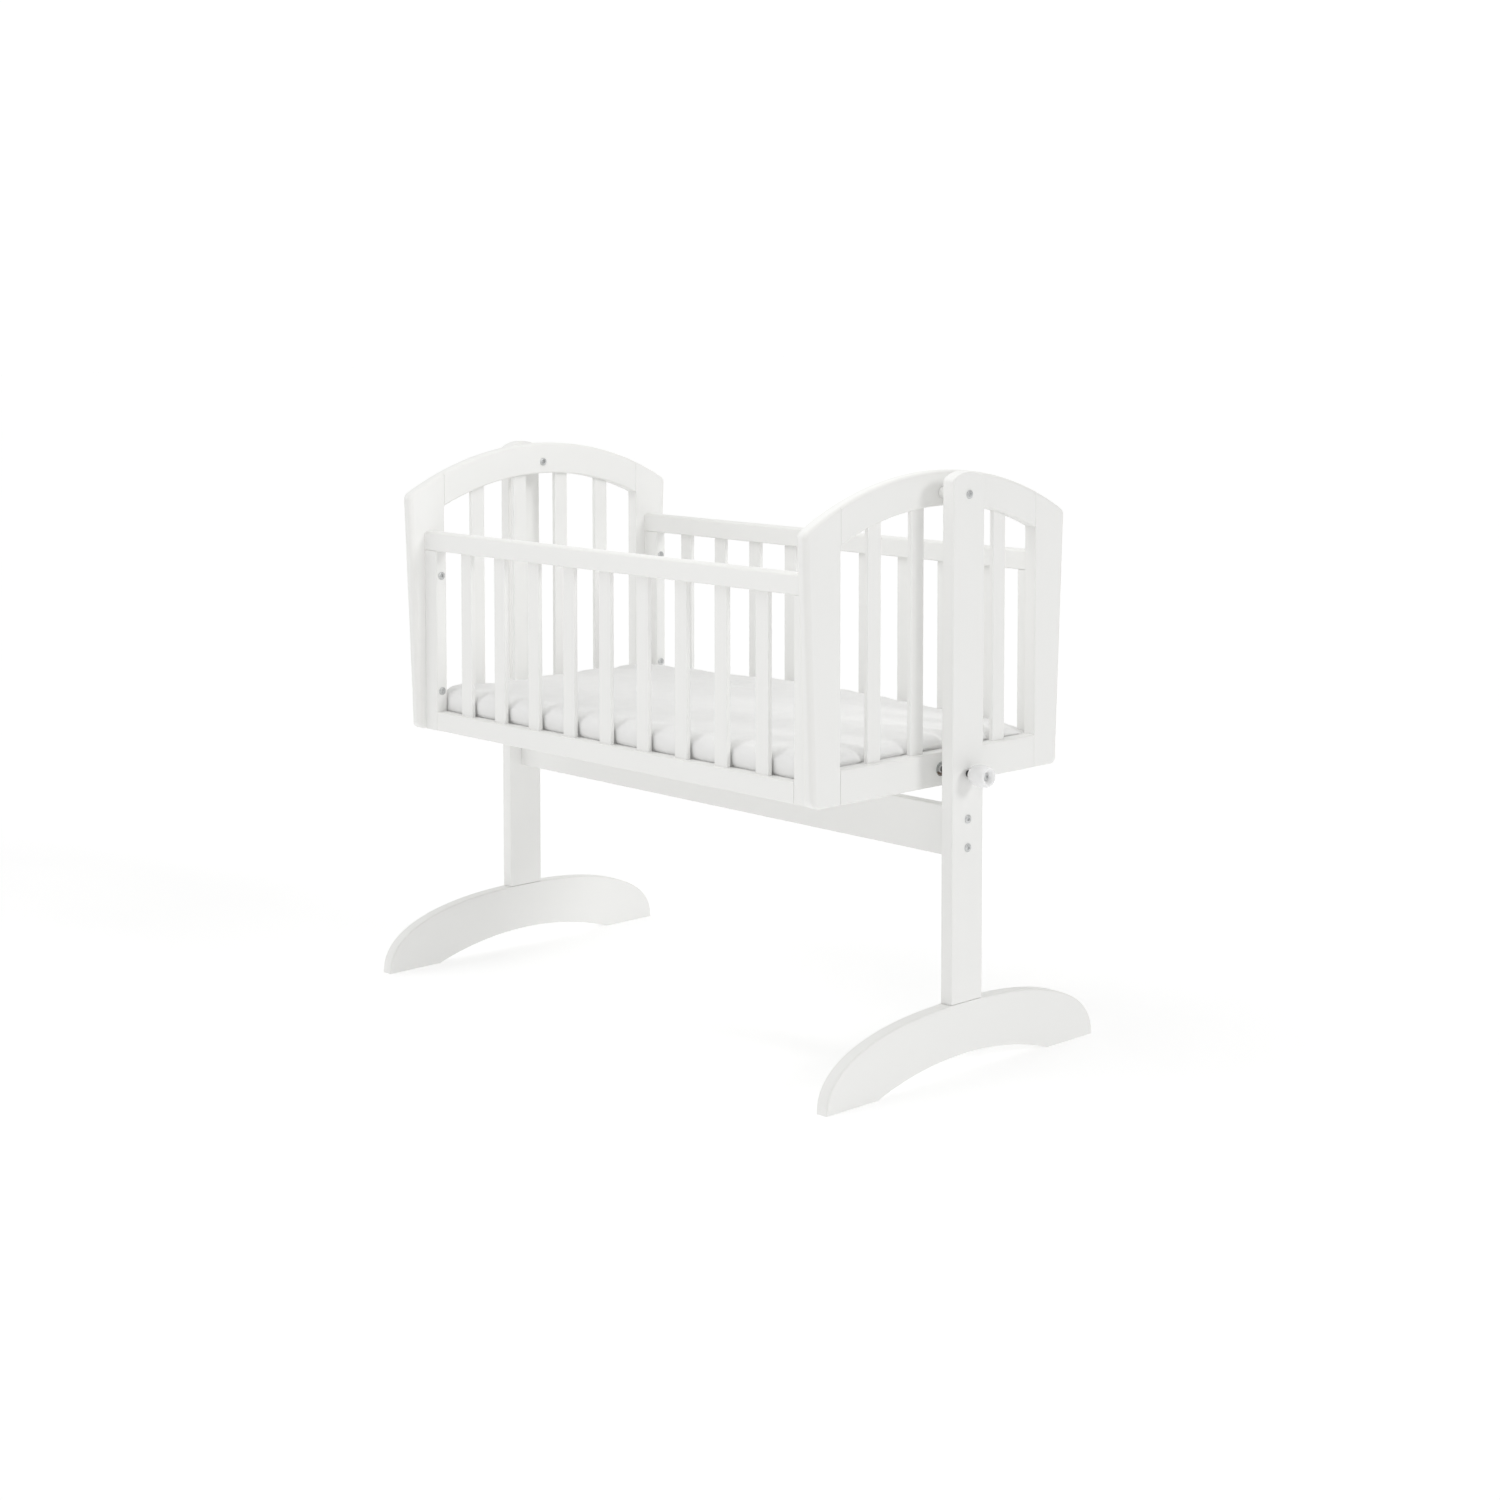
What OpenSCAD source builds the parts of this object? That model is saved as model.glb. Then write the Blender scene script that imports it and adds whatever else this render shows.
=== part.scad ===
// Swinging cradle on a stand. Units: mm. +Z up, Z = 0 is the floor.
// X runs along the cradle (left = -X, right = +X), Y across it
// (front = -Y, back = +Y). The origin is under the middle of the whole
// object, so the right lock knob makes the stand sit slightly to the left.

/* [Stand] */
// Height of the posts above the floor
stand_h = 900; // [880:5:920]
// Distance over the outer faces of the two posts
stand_len = 1068; // [1040:2:1100]
// Width of a post, across the cradle
post_w = 68.5; // [64:0.5:74]
// Thickness of the posts and feet
post_t = 22; // [20:0.5:24]
// Length of a foot, across the cradle
foot_len = 592; // [560:4:640]
// Height of a foot at its middle, where the post stands
foot_h = 108.5; // [100:0.5:116]
// Half the width of the arch cut under a foot
foot_arch_half = 190; // [170:2:200]
// Height of the arch cut under a foot
foot_arch_rise = 30.5; // [24:0.5:36]
// Thickness of the stretcher between the posts
stretcher_t = 18; // [16:0.5:22]
// Height of the stretcher plank
stretcher_h = 76; // [70:1:78]
// Underside of the stretcher above the floor
stretcher_z = 324; // [316:1:324]

/* [Cradle ends] */
// Distance over the outer faces of the two end panels
cradle_len = 961; // [950:1:970]
// Thickness of the end panels
panel_t = 22; // [20:0.5:24]
// Underside of the cradle above the floor
cradle_z = 425.5; // [424:0.5:430]
// Crown of the end panels above the floor
crown_z = 899; // [896:1:904]
// Radius of the crown's top edge
crown_r = 571; // [560:1:590]
// Radius of the arch rail's lower edge
arch_in_r = 531; // [520:1:540]
// Height of the arch rail at the crown
arch_w = 53; // [50:1:58]
// Height of the bottom rail of an end panel
end_rail_h = 51.5; // [48:0.5:56]
// Half the distance between the inner edges of the two stiles
stile_in = 215; // [212:1:217]
// Number of slats in each end panel
end_slats = 4; // [4:2:4]
// Spacing of the slats in an end panel
end_pitch = 92; // [90:0.5:94]

/* [Cradle sides] */
// Half the distance over the outer faces of the two side panels
side_out = 256.75; // [254:0.25:258]
// Thickness of the side panels
side_t = 21; // [20:0.5:22]
// Height of the top and bottom rails of a side panel
side_rail_h = 32; // [30:0.5:34]
// Top of a side panel above the floor
side_top_z = 761; // [756:1:766]
// Width of the uprights at the ends of a side panel
upright_w = 32; // [30:0.5:34]
// Number of slats in each side panel
side_slats = 9; // [9:2:9]
// Spacing of the slats in a side panel
side_pitch = 88.4; // [87:0.2:89]
// Width of every slat
slat_w = 28; // [26:0.5:30]
// Thickness of every slat
slat_t = 8; // [7:0.5:9]

/* [Bed] */
// Thickness of the mattress
mattress_t = 50; // [40:1:52]
// Gap all round the mattress
mattress_gap = 0.8; // [0.5:0.1:2]
// Number of slats in the bed base
base_slats = 9; // [7:2:9]

/* [Pivot and lock] */
// Height of the pivot bolts above the floor
pivot_z = 866; // [864:0.5:868]
// Diameter of the sleeve that the cradle swings on
pivot_d = 8; // [8:1:10]
// Running clearance on the diameter, at the pivots and at the lock rod
run_gap = 0.1; // [0.06:0.02:0.18]
// Diameter of the white spacers between the posts and the cradle
spacer_d = 18; // [16:0.5:20]
// Height of the lock rod above the floor
lock_z = 451.5; // [449:0.5:453]
// Diameter of the lock rod
rod_d = 10; // [10:1:12]
// Diameter of the lock knob
knob_d = 33; // [30:1:36]
// Length of the lock knob
knob_len = 35; // [34:1:38]
// Space between the post and the lock knob, as drawn out
knob_gap = 7; // [6:0.5:10]

/* [Hidden] */

// colours
wood = [0.93, 0.93, 0.92];
pale = [0.90, 0.90, 0.89];
zinc = [0.66, 0.67, 0.68];
dark = [0.16, 0.16, 0.17];
nylon = [0.95, 0.95, 0.94];
beech = [0.80, 0.66, 0.48];
cloth = [0.95, 0.95, 0.97];

// facets drawn on small round parts and on the big arcs
FS = 48;
FB = 720;

// derived positions along X
post_o = stand_len / 2;            // outer face of a post
post_i = post_o - post_t;          // inner face of a post
panel_o = cradle_len / 2;          // outer face of an end panel
panel_i = panel_o - panel_t;       // inner face of an end panel
head_t = 2;                        // how far a bolt head stands proud
bolt_head_d = 13.2;
knob_in = post_o + knob_gap;
knob_out = knob_in + knob_len;
mid_x = (knob_out - (post_o + head_t)) / 2;

// derived heights
crown_c = crown_z - crown_r;                 // centre of the crown's arc
arch_in_c = crown_z - arch_w - arch_in_r;    // centre of the lower arc
foot_arch_r = (foot_arch_half * foot_arch_half + foot_arch_rise * foot_arch_rise)
  / (2 * foot_arch_rise);
end_rail_top = cradle_z + end_rail_h;
side_in = side_out - side_t;
rail_top_z = side_top_z - side_rail_h;       // underside of the side top rail
rail_low_z = cradle_z + side_rail_h;         // top of the side bottom rail
upright_x = panel_i - upright_w;             // inner edge of an upright
bed_z = cradle_z + 23.5;                     // top of the bed slats
side_mid = side_out - side_t / 2;
side_bolt_z = [cradle_z + 66.5, cradle_z + 261.4];
stretcher_bolt_z = [stretcher_z + 16.5, stretcher_z + 59.5];
foot_bolt_y = [-17, 17];

// ---------------------------------------------------------------- helpers
module here() translate([-mid_x, 0, 0]) children();
module flip_x(on) { if (on) mirror([1, 0, 0]) children(); else children(); }
module flip_y(on) { if (on) mirror([0, 1, 0]) children(); else children(); }
// a flat shape drawn in Y and Z, given its thickness along X from x0
module yz(x0, t) translate([x0, 0, 0]) rotate([90, 0, 90]) linear_extrude(t) children();
// a flat shape drawn in X and Z, given its thickness along Y from y0
module xz(y0, t) translate([0, y0 + t, 0]) rotate([90, 0, 0]) linear_extrude(t) children();
module rod_x(d, x0, x1, y, z) translate([x0, y, z]) rotate([0, 90, 0]) cylinder(d = d, h = x1 - x0, $fn = FS);
module rod_y(d, y0, y1, x, z) translate([x, y0, z]) rotate([-90, 0, 0]) cylinder(d = d, h = y1 - y0, $fn = FS);
module rod_z(d, z0, z1, x, y) translate([x, y, z0]) cylinder(d = d, h = z1 - z0, $fn = FS);
module box(x0, x1, y0, y1, z0, z1) translate([x0, y0, z0]) cube([x1 - x0, y1 - y0, z1 - z0]);
// a flat shape with its four corners rounded: from a to b in both axes
module round_rect(a0, a1, b0, b1, r) {
  translate([a0 + r, b0]) square([a1 - a0 - 2 * r, b1 - b0]);
  translate([a0, b0 + r]) square([a1 - a0, b1 - b0 - 2 * r]);
  for (a = [a0 + r, a1 - r], b = [b0 + r, b1 - r]) translate([a, b]) circle(r, $fn = FS);
}

// ---------------------------------------------------------------- stand
// post: straight sides, a crowned top with eased corners, standing on the foot
post_crown_r = 60;
post_corner_r = 8;
post_corner_y = post_w / 2 - post_corner_r;
post_corner_z = stand_h - post_crown_r
  + sqrt(pow(post_crown_r - post_corner_r, 2) - post_corner_y * post_corner_y);
module post_outline() {
  k = post_crown_r / (post_crown_r - post_corner_r);
  ty = post_corner_y * k;
  cz = stand_h - post_crown_r;
  intersection() {
    translate([0, cz]) circle(post_crown_r, $fn = 360);
    polygon([[-post_corner_y, post_corner_z], [-ty, cz + (post_corner_z - cz) * k],
      [-ty, stand_h + 5], [ty, stand_h + 5], [ty, cz + (post_corner_z - cz) * k],
      [post_corner_y, post_corner_z], [0, post_corner_z - 20]]);
  }
  for (s = [-1, 1]) translate([s * post_corner_y, post_corner_z]) circle(post_corner_r, $fn = 96);
  polygon([[-post_w / 2, foot_h], [post_w / 2, foot_h], [post_w / 2, post_corner_z],
    [post_corner_y, post_corner_z], [0, post_corner_z - 20], [-post_corner_y, post_corner_z],
    [-post_w / 2, post_corner_z]]);
}
module post(right) {
  difference() {
    yz(right ? post_i : -post_o, post_t) post_outline();
    flip_x(!right) {
      // pivot bolt, stretcher bolts
      rod_x(6.4, post_i - 1, post_o + 1, 0, pivot_z);
      for (z = stretcher_bolt_z) rod_x(6.4, post_i - 1, post_o + 1, 0, z);
      // threaded inserts in the end grain
      for (y = foot_bolt_y) rod_z(10, foot_h - 1, foot_h + 20, (post_i + post_o) / 2, y);
      // clearance past the end of each foot bolt
      for (y = foot_bolt_y) rod_z(7, foot_h + 19.9, foot_h + 26, (post_i + post_o) / 2, y);
    }
    if (right) rod_x(rod_d + run_gap, post_i - 1, post_o + 1, 0, lock_z);
  }
}
module post_left() color(wood) post(false);
module post_right() color(wood) post(true);

// foot: a plank cut to a flattened arch, flat-footed at both ends
foot_n = 2.35;
function foot_pt(a) = let (c = cos(a), s = sin(a)) [
  foot_len / 2 * sign(c) * pow(abs(c), 2 / foot_n),
  min(foot_h, (foot_h + 0.4) * pow(abs(s), 2 / foot_n))];
module foot_outline() difference() {
  polygon([for (i = [0:60]) foot_pt(3 * i)]);
  translate([0, foot_arch_rise - foot_arch_r]) circle(foot_arch_r, $fn = FB);
}
module foot(right) flip_x(!right) difference() {
  yz(post_i, post_t) foot_outline();
  for (y = foot_bolt_y) {
    rod_z(14, 20, 46, (post_i + post_o) / 2, y);
    rod_z(6.4, 40, foot_h + 1, (post_i + post_o) / 2, y);
  }
}
module foot_left() color(wood) foot(false);
module foot_right() color(wood) foot(true);
// foot bolts: up through the foot into an insert in the post's end grain
module foot_bolts() color(zinc) for (s = [-1, 1], y = foot_bolt_y) difference() {
  union() {
    rod_z(12, 40, 46, s * (post_i + post_o) / 2, y);
    rod_z(6, 40, foot_h + 24, s * (post_i + post_o) / 2, y);
  }
  translate([s * (post_i + post_o) / 2, y, 39]) cylinder(d = 5.6, h = 4, $fn = 6);
}
module foot_inserts() color(zinc) for (s = [-1, 1], y = foot_bolt_y) difference() {
  rod_z(10, foot_h, foot_h + 20, s * (post_i + post_o) / 2, y);
  rod_z(6, foot_h - 1, foot_h + 21, s * (post_i + post_o) / 2, y);
}

// stretcher: a plank on edge between the posts, long edges eased
barrel_x = post_i - 34;
module stretcher() color(wood) difference() {
  translate([-post_i, 0, 0]) rotate([90, 0, 90]) linear_extrude(2 * post_i)
    round_rect(-stretcher_t / 2, stretcher_t / 2, stretcher_z, stretcher_z + stretcher_h, 2.5);
  for (s = [-1, 1], z = stretcher_bolt_z) {
    rod_x(6.4, s > 0 ? post_i - 48 : -post_i - 1, s > 0 ? post_i + 1 : -post_i + 48, 0, z);
    rod_y(10, -stretcher_t / 2 + 3, stretcher_t / 2 + 1, s * barrel_x, z);
  }
}
// flat-headed socket bolt along X: head at x, shank reaching back to x1
module socket_bolt(x, x1, z, y, hd, d) difference() {
  union() {
    rod_x(hd, x, x + head_t, y, z);
    rod_x(d, x1, x + head_t, y, z);
  }
  translate([x + head_t - 1.6, y, z]) rotate([0, 90, 0]) cylinder(d = 5.6, h = 3, $fn = 6);
}
module stretcher_bolts() color(zinc) for (right = [false, true], z = stretcher_bolt_z)
  flip_x(!right) socket_bolt(post_o, post_i - 44, z, 0, bolt_head_d, 6);
module stretcher_barrel_nuts() color(zinc) for (s = [-1, 1], z = stretcher_bolt_z) difference() {
  rod_y(10, -stretcher_t / 2 + 3, stretcher_t / 2 - 0.5, s * barrel_x, z);
  rod_x(6, s * barrel_x - 10, s * barrel_x + 10, 0, z);
}

// ---------------------------------------------------------------- pivots
// bolt from outside, sleeve nut from inside; the cradle swings on the sleeve
sleeve_end = panel_o + 20;
nut_face = panel_i - 0.3;
module pivot_bolt(right) flip_x(!right) socket_bolt(post_o, panel_i + 8, pivot_z, 0, bolt_head_d, 6);
module pivot_sleeve_nut(right) flip_x(!right) difference() {
  union() {
    rod_x(13, nut_face - head_t, nut_face, 0, pivot_z);
    rod_x(pivot_d, nut_face - head_t, sleeve_end, 0, pivot_z);
  }
  rod_x(6, nut_face + 4, sleeve_end + 1, 0, pivot_z);
  translate([nut_face - head_t - 1, 0, pivot_z]) rotate([0, 90, 0]) cylinder(d = 5.6, h = 2.6, $fn = 6);
}
module pivot_spacer(right) flip_x(!right) difference() {
  rod_x(spacer_d, panel_o + 0.4, post_i, 0, pivot_z);
  rod_x(pivot_d + 0.4, panel_o - 1, post_i + 1, 0, pivot_z);
}
module pivot_bush(right) flip_x(!right) difference() {
  rod_x(pivot_d + 4, panel_i, panel_o, 0, pivot_z);
  rod_x(pivot_d + run_gap, panel_i - 1, panel_o + 1, 0, pivot_z);
}
module pivot_bolt_left() color(zinc) pivot_bolt(false);
module pivot_bolt_right() color(zinc) pivot_bolt(true);
module pivot_sleeve_nut_left() color(zinc) pivot_sleeve_nut(false);
module pivot_sleeve_nut_right() color(zinc) pivot_sleeve_nut(true);
module pivot_spacer_left() color(nylon) pivot_spacer(false);
module pivot_spacer_right() color(nylon) pivot_spacer(true);
module pivot_bush_left() color(nylon) pivot_bush(false);
module pivot_bush_right() color(nylon) pivot_bush(true);

// ---------------------------------------------------------------- end panels
// outer edge of a stile: a straight line that leans out towards the top
edge_lo = 270.3;
edge_hi = 286.5;
edge_hz = 812;
edge_lz = 425.5;
lean = (edge_hi - edge_lo) / (edge_hz - edge_lz);
lean_c = 1 / sqrt(1 + lean * lean);
function edge_y(z) = edge_lo + lean * (z - edge_lz);
stile_r = 14;                                  // corner radius of a stile
// centre of the bottom corner
foot_cz = cradle_z + stile_r;
foot_cy = edge_y(foot_cz) - stile_r / lean_c;
// centre of the top corner: stile_r inside the leaning edge and the crown's arc
rin = crown_r - stile_r;
line_a = edge_y(crown_c) - stile_r / lean_c;   // offset edge, at the arc's centre height
top_q = 1 + lean * lean;
top_h = (-line_a * lean + sqrt(line_a * line_a * lean * lean - top_q * (line_a * line_a - rin * rin))) / top_q;
top_cz = crown_c + top_h;
top_cy = line_a + lean * top_h;
// where the rounded corners run into the leaning edge and the arc
function on_edge(cy, cz) = [cy + stile_r * lean_c, cz - stile_r * lean * lean_c];
arc_t = [top_cy * (crown_r + 60) / rin, crown_c + top_h * (crown_r + 60) / rin];
module stile_outline() {
  intersection() {
    translate([0, crown_c]) circle(crown_r, $fn = FB);
    polygon([[stile_in, cradle_z], [foot_cy, cradle_z], [foot_cy, foot_cz],
      on_edge(foot_cy, foot_cz), on_edge(top_cy, top_cz), [top_cy, top_cz], arc_t,
      [stile_in, crown_z + 60]]);
  }
  translate([foot_cy, foot_cz]) circle(stile_r, $fn = 96);
  translate([top_cy, top_cz]) circle(stile_r, $fn = 96);
}
arch_dowel_z = [cradle_z + 391, cradle_z + 415];
rail_dowel_z = [cradle_z + 14, cradle_z + 37.5];
panel_mid = (panel_i + panel_o) / 2;
module stile(right, back) flip_x(!right) flip_y(!back) difference() {
  yz(panel_i, panel_t) stile_outline();
  for (z = side_bolt_z) {
    rod_x(10, panel_i - 1, panel_i + 14, side_mid, z);
    rod_x(7, panel_i + 13.9, panel_i + 17, side_mid, z);
  }
  for (z = arch_dowel_z) rod_y(8, stile_in - 1, stile_in + 20, panel_mid, z);
  for (z = rail_dowel_z) rod_y(8, stile_in - 1, stile_in + 20, panel_mid, z);
}
module end_stile_left_front() color(wood) stile(false, false);
module end_stile_left_back() color(wood) stile(false, true);
module end_stile_right_front() color(wood) stile(true, false);
module end_stile_right_back() color(wood) stile(true, true);

// slats of an end panel; their ends sit in pockets in the arch and the rail
slat_mid = panel_mid;
function end_y(i) = (i - (end_slats - 1) / 2) * end_pitch;
function arch_low(y) = arch_in_c + sqrt(arch_in_r * arch_in_r - y * y);
module end_slats_set() for (i = [0:end_slats - 1])
  box(slat_mid - slat_t / 2, slat_mid + slat_t / 2, end_y(i) - slat_w / 2, end_y(i) + slat_w / 2,
    end_rail_top - 10, arch_low(abs(end_y(i))) + 10);
module end_arch(right) flip_x(!right) difference() {
  yz(panel_i, panel_t) difference() {
    intersection() {
      translate([0, crown_c]) circle(crown_r, $fn = FB);
      translate([-stile_in, crown_z - 150]) square([2 * stile_in, 200]);
    }
    translate([0, arch_in_c]) circle(arch_in_r, $fn = FB);
  }
  end_slats_set();
  rod_x(pivot_d + 4, panel_i - 1, panel_o + 1, 0, pivot_z);
  for (s = [-1, 1], z = arch_dowel_z)
    rod_y(8, s > 0 ? stile_in - 20 : -stile_in - 1, s > 0 ? stile_in + 1 : -stile_in + 20, panel_mid, z);
}
module end_bottom_rail(right) flip_x(!right) difference() {
  box(panel_i, panel_o, -stile_in, stile_in, cradle_z, end_rail_top);
  end_slats_set();
  for (s = [-1, 1], z = rail_dowel_z)
    rod_y(8, s > 0 ? stile_in - 20 : -stile_in - 1, s > 0 ? stile_in + 1 : -stile_in + 20, panel_mid, z);
  if (right) rod_x(20, panel_o - 16, panel_o + 1, 0, lock_z);
}
module end_arch_left() color(wood) end_arch(false);
module end_arch_right() color(wood) end_arch(true);
module end_bottom_rail_left() color(wood) end_bottom_rail(false);
module end_bottom_rail_right() color(wood) end_bottom_rail(true);
module end_slats_left() color(pale) flip_x(true) end_slats_set();
module end_slats_right() color(pale) end_slats_set();
module end_dowels() color(beech) for (sx = [-1, 1], sy = [-1, 1], z = concat(arch_dowel_z, rail_dowel_z))
  rod_y(8, sy * stile_in - 19, sy * stile_in + 19, sx * panel_mid, z);

// ---------------------------------------------------------------- side panels
slat_y0 = side_out - 6.5 - slat_t;
function side_x(i) = (i - (side_slats - 1) / 2) * side_pitch;
module side_slats_set() for (i = [0:side_slats - 1])
  box(side_x(i) - slat_w / 2, side_x(i) + slat_w / 2, slat_y0, slat_y0 + slat_t, rail_low_z - 10, rail_top_z + 10);
upright_mid = panel_i - upright_w / 2;
module side_dowel_set(extra) for (s = [-1, 1]) {
  rod_x(8, s * upright_x - 19 - extra, s * upright_x + 19 + extra, side_mid, cradle_z + 16);
  rod_z(8, rail_top_z - 19 - extra, rail_top_z + 19 + extra, s * upright_mid, side_mid);
}
module top_rail(back) flip_y(!back) difference() {
  translate([-panel_i, 0, 0]) rotate([90, 0, 90]) linear_extrude(2 * panel_i) {
    translate([side_in, rail_top_z]) square([side_t, side_rail_h - 6]);
    translate([side_in + 6, rail_top_z]) square([side_t - 12, side_rail_h]);
    for (y = [side_in + 6, side_out - 6]) translate([y, side_top_z - 6]) circle(6, $fn = FS);
  }
  side_slats_set();
  side_dowel_set(1);
}
module bottom_rail(back) flip_y(!back) difference() {
  box(-upright_x, upright_x, side_in, side_out, cradle_z, rail_low_z);
  side_slats_set();
  side_dowel_set(1);
  for (x = ledge_screw_x) rod_y(3, side_in - 1, side_in + 15, x, ledge_mid_z);
}
module upright(right, back) flip_x(!right) flip_y(!back) difference() {
  box(upright_x, panel_i, side_in, side_out, cradle_z, rail_top_z);
  for (z = side_bolt_z) rod_x(6.4, upright_x - 1, panel_i + 1, side_mid, z);
  side_dowel_set(1);
}
module side_top_rail_front() color(wood) top_rail(false);
module side_top_rail_back() color(wood) top_rail(true);
module side_bottom_rail_front() color(wood) bottom_rail(false);
module side_bottom_rail_back() color(wood) bottom_rail(true);
module side_upright_front_left() color(wood) upright(false, false);
module side_upright_front_right() color(wood) upright(true, false);
module side_upright_back_left() color(wood) upright(false, true);
module side_upright_back_right() color(wood) upright(true, true);
module side_slats_front() color(pale) flip_y(true) side_slats_set();
module side_slats_back() color(pale) side_slats_set();
module side_dowels() color(beech) for (back = [false, true]) flip_y(!back) side_dowel_set(0);

// corner bolts: through an upright along X into an insert in the stile
module side_bolt(z) mirror([1, 0, 0]) socket_bolt(-upright_x, -panel_i - 12, z, side_mid, bolt_head_d, 6);
module side_bolts() color(zinc) for (right = [false, true], back = [false, true], z = side_bolt_z)
  flip_x(!right) flip_y(!back) side_bolt(z);
module side_inserts() color(zinc) for (right = [false, true], back = [false, true], z = side_bolt_z)
  flip_x(!right) flip_y(!back) difference() {
    rod_x(10, panel_i, panel_i + 14, side_mid, z);
    rod_x(6, panel_i - 1, panel_i + 15, side_mid, z);
  }

// ---------------------------------------------------------------- bed
ledge_w = 14;
ledge_top = bed_z - 8;
ledge_mid_z = cradle_z + 8;
ledge_screw_x = [-364, -156, 156, 364];
base_pitch = 104 * 8 / (base_slats - 1);
function base_x(i) = (i - (base_slats - 1) / 2) * base_pitch;
base_screw_y = side_in - ledge_w / 2;
module ledge(back) flip_y(!back) difference() {
  box(-440, 440, side_in - ledge_w, side_in, cradle_z, ledge_top);
  for (x = ledge_screw_x) {
    rod_y(3, side_in - ledge_w - 1, side_in + 1, x, ledge_mid_z);
    rod_y(7, side_in - ledge_w - 1, side_in - ledge_w + 2, x, ledge_mid_z);
  }
  for (i = [0:base_slats - 1]) rod_z(3, ledge_top - 10, ledge_top + 1, base_x(i), base_screw_y);
}
module base_ledge_front() color(pale) ledge(false);
module base_ledge_back() color(pale) ledge(true);
module base_slats_set() color(pale) for (i = [0:base_slats - 1]) difference() {
  box(base_x(i) - 30, base_x(i) + 30, -side_in + 0.5, side_in - 0.5, ledge_top, bed_z);
  for (s = [-1, 1]) {
    rod_z(3, ledge_top - 1, bed_z + 1, base_x(i), s * base_screw_y);
    rod_z(7, bed_z - 2, bed_z + 1, base_x(i), s * base_screw_y);
  }
}
module ledge_screws() color(zinc) for (back = [false, true], x = ledge_screw_x) flip_y(!back) {
  rod_y(3, side_in - ledge_w, side_in + 14, x, ledge_mid_z);
  rod_y(7, side_in - ledge_w, side_in - ledge_w + 2, x, ledge_mid_z);
}
module base_screws() color(zinc) for (s = [-1, 1], i = [0:base_slats - 1]) {
  rod_z(3, ledge_top - 9, bed_z, base_x(i), s * base_screw_y);
  rod_z(7, bed_z - 2, bed_z, base_x(i), s * base_screw_y);
}
// mattress: a padded slab that fills the bed, simple closed solid
module mattress() color(cloth) translate([0, 0, bed_z]) linear_extrude(mattress_t)
  round_rect(-panel_i + mattress_gap, panel_i - mattress_gap, -side_in + mattress_gap, side_in - mattress_gap, 22);

// ---------------------------------------------------------------- lock
// a rod with a knob slides in the right post; a socket waits in the end rail
module lock_socket() color(dark) difference() {
  union() {
    rod_x(20, panel_o - 16, panel_o, 0, lock_z);
    rod_x(22.4, panel_o, panel_o + 0.8, 0, lock_z);
  }
  rod_x(rod_d + 1, panel_o - 14, panel_o + 2, 0, lock_z);
}
module lock_rod() color(dark) difference() {
  rod_x(rod_d, panel_o + 2.2, knob_in + 17, 0, lock_z);
  rod_x(5, knob_in + 1, knob_in + 18, 0, lock_z);
}
// turned knob: narrow neck at the post, full belly, a wide bowl in its end
knob_lip_r = 12.4;                  // radius of the bowl's rim
knob_floor = knob_len - 7.4;        // how far in the bowl's floor lies
module lock_knob() color(nylon) translate([knob_in, 0, lock_z]) rotate([0, 90, 0]) difference() {
  r = knob_d / 2;
  rotate_extrude($fn = 96) polygon(concat(
    [[0, 0], [7.2, 0]],
    [for (i = [1:12]) let (t = i / 12) [
      7.2 + (r - 7.2) * sin(90 * t), 21 * (1 - cos(90 * t))]],
    [for (i = [1:10]) let (t = i / 10) [
      r - (r - knob_lip_r) * (1 - cos(90 * t)), 21 + (knob_len - 21) * sin(90 * t)]],
    [[knob_lip_r - 0.8, knob_len - 0.2]],
    [for (i = [0:8]) let (t = i / 8) [
      6.6 + (knob_lip_r - 8.4) * cos(90 * t), knob_floor + (knob_len - 1.2 - knob_floor) * (1 - sin(90 * t))]],
    [[0, knob_floor]]));
  translate([0, 0, -1]) cylinder(d = rod_d, h = 18, $fn = FS);
  cylinder(d = 5.4, h = knob_len, $fn = FS);
}
module lock_knob_screw() color(zinc) difference() {
  union() {
    rod_x(9.8, knob_in + knob_floor, knob_in + knob_floor + 2.2, 0, lock_z);
    rod_x(5, knob_in + 4, knob_in + knob_floor + 2.2, 0, lock_z);
  }
  translate([knob_in + knob_floor + 0.6, 0, lock_z]) rotate([0, 90, 0]) cylinder(d = 4.6, h = 3, $fn = 6);
}

// ---------------------------------------------------------------- the object
here() post_left();
here() post_right();
here() foot_left();
here() foot_right();
here() stretcher();
here() stretcher_bolts();
here() stretcher_barrel_nuts();
here() foot_bolts();
here() foot_inserts();
here() pivot_bolt_left();
here() pivot_bolt_right();
here() pivot_sleeve_nut_left();
here() pivot_sleeve_nut_right();
here() pivot_spacer_left();
here() pivot_spacer_right();
here() end_stile_left_front();
here() end_stile_left_back();
here() end_stile_right_front();
here() end_stile_right_back();
here() end_arch_left();
here() end_arch_right();
here() end_bottom_rail_left();
here() end_bottom_rail_right();
here() end_slats_left();
here() end_slats_right();
here() end_dowels();
here() pivot_bush_left();
here() pivot_bush_right();
here() side_top_rail_front();
here() side_top_rail_back();
here() side_bottom_rail_front();
here() side_bottom_rail_back();
here() side_upright_front_left();
here() side_upright_front_right();
here() side_upright_back_left();
here() side_upright_back_right();
here() side_slats_front();
here() side_slats_back();
here() side_dowels();
here() side_bolts();
here() side_inserts();
here() base_ledge_front();
here() base_ledge_back();
here() base_slats_set();
here() ledge_screws();
here() base_screws();
here() mattress();
here() lock_socket();
here() lock_rod();
here() lock_knob();
here() lock_knob_screw();
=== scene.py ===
import math

import bmesh
import bpy
import numpy as np
from mathutils import Matrix, Vector, noise


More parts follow.
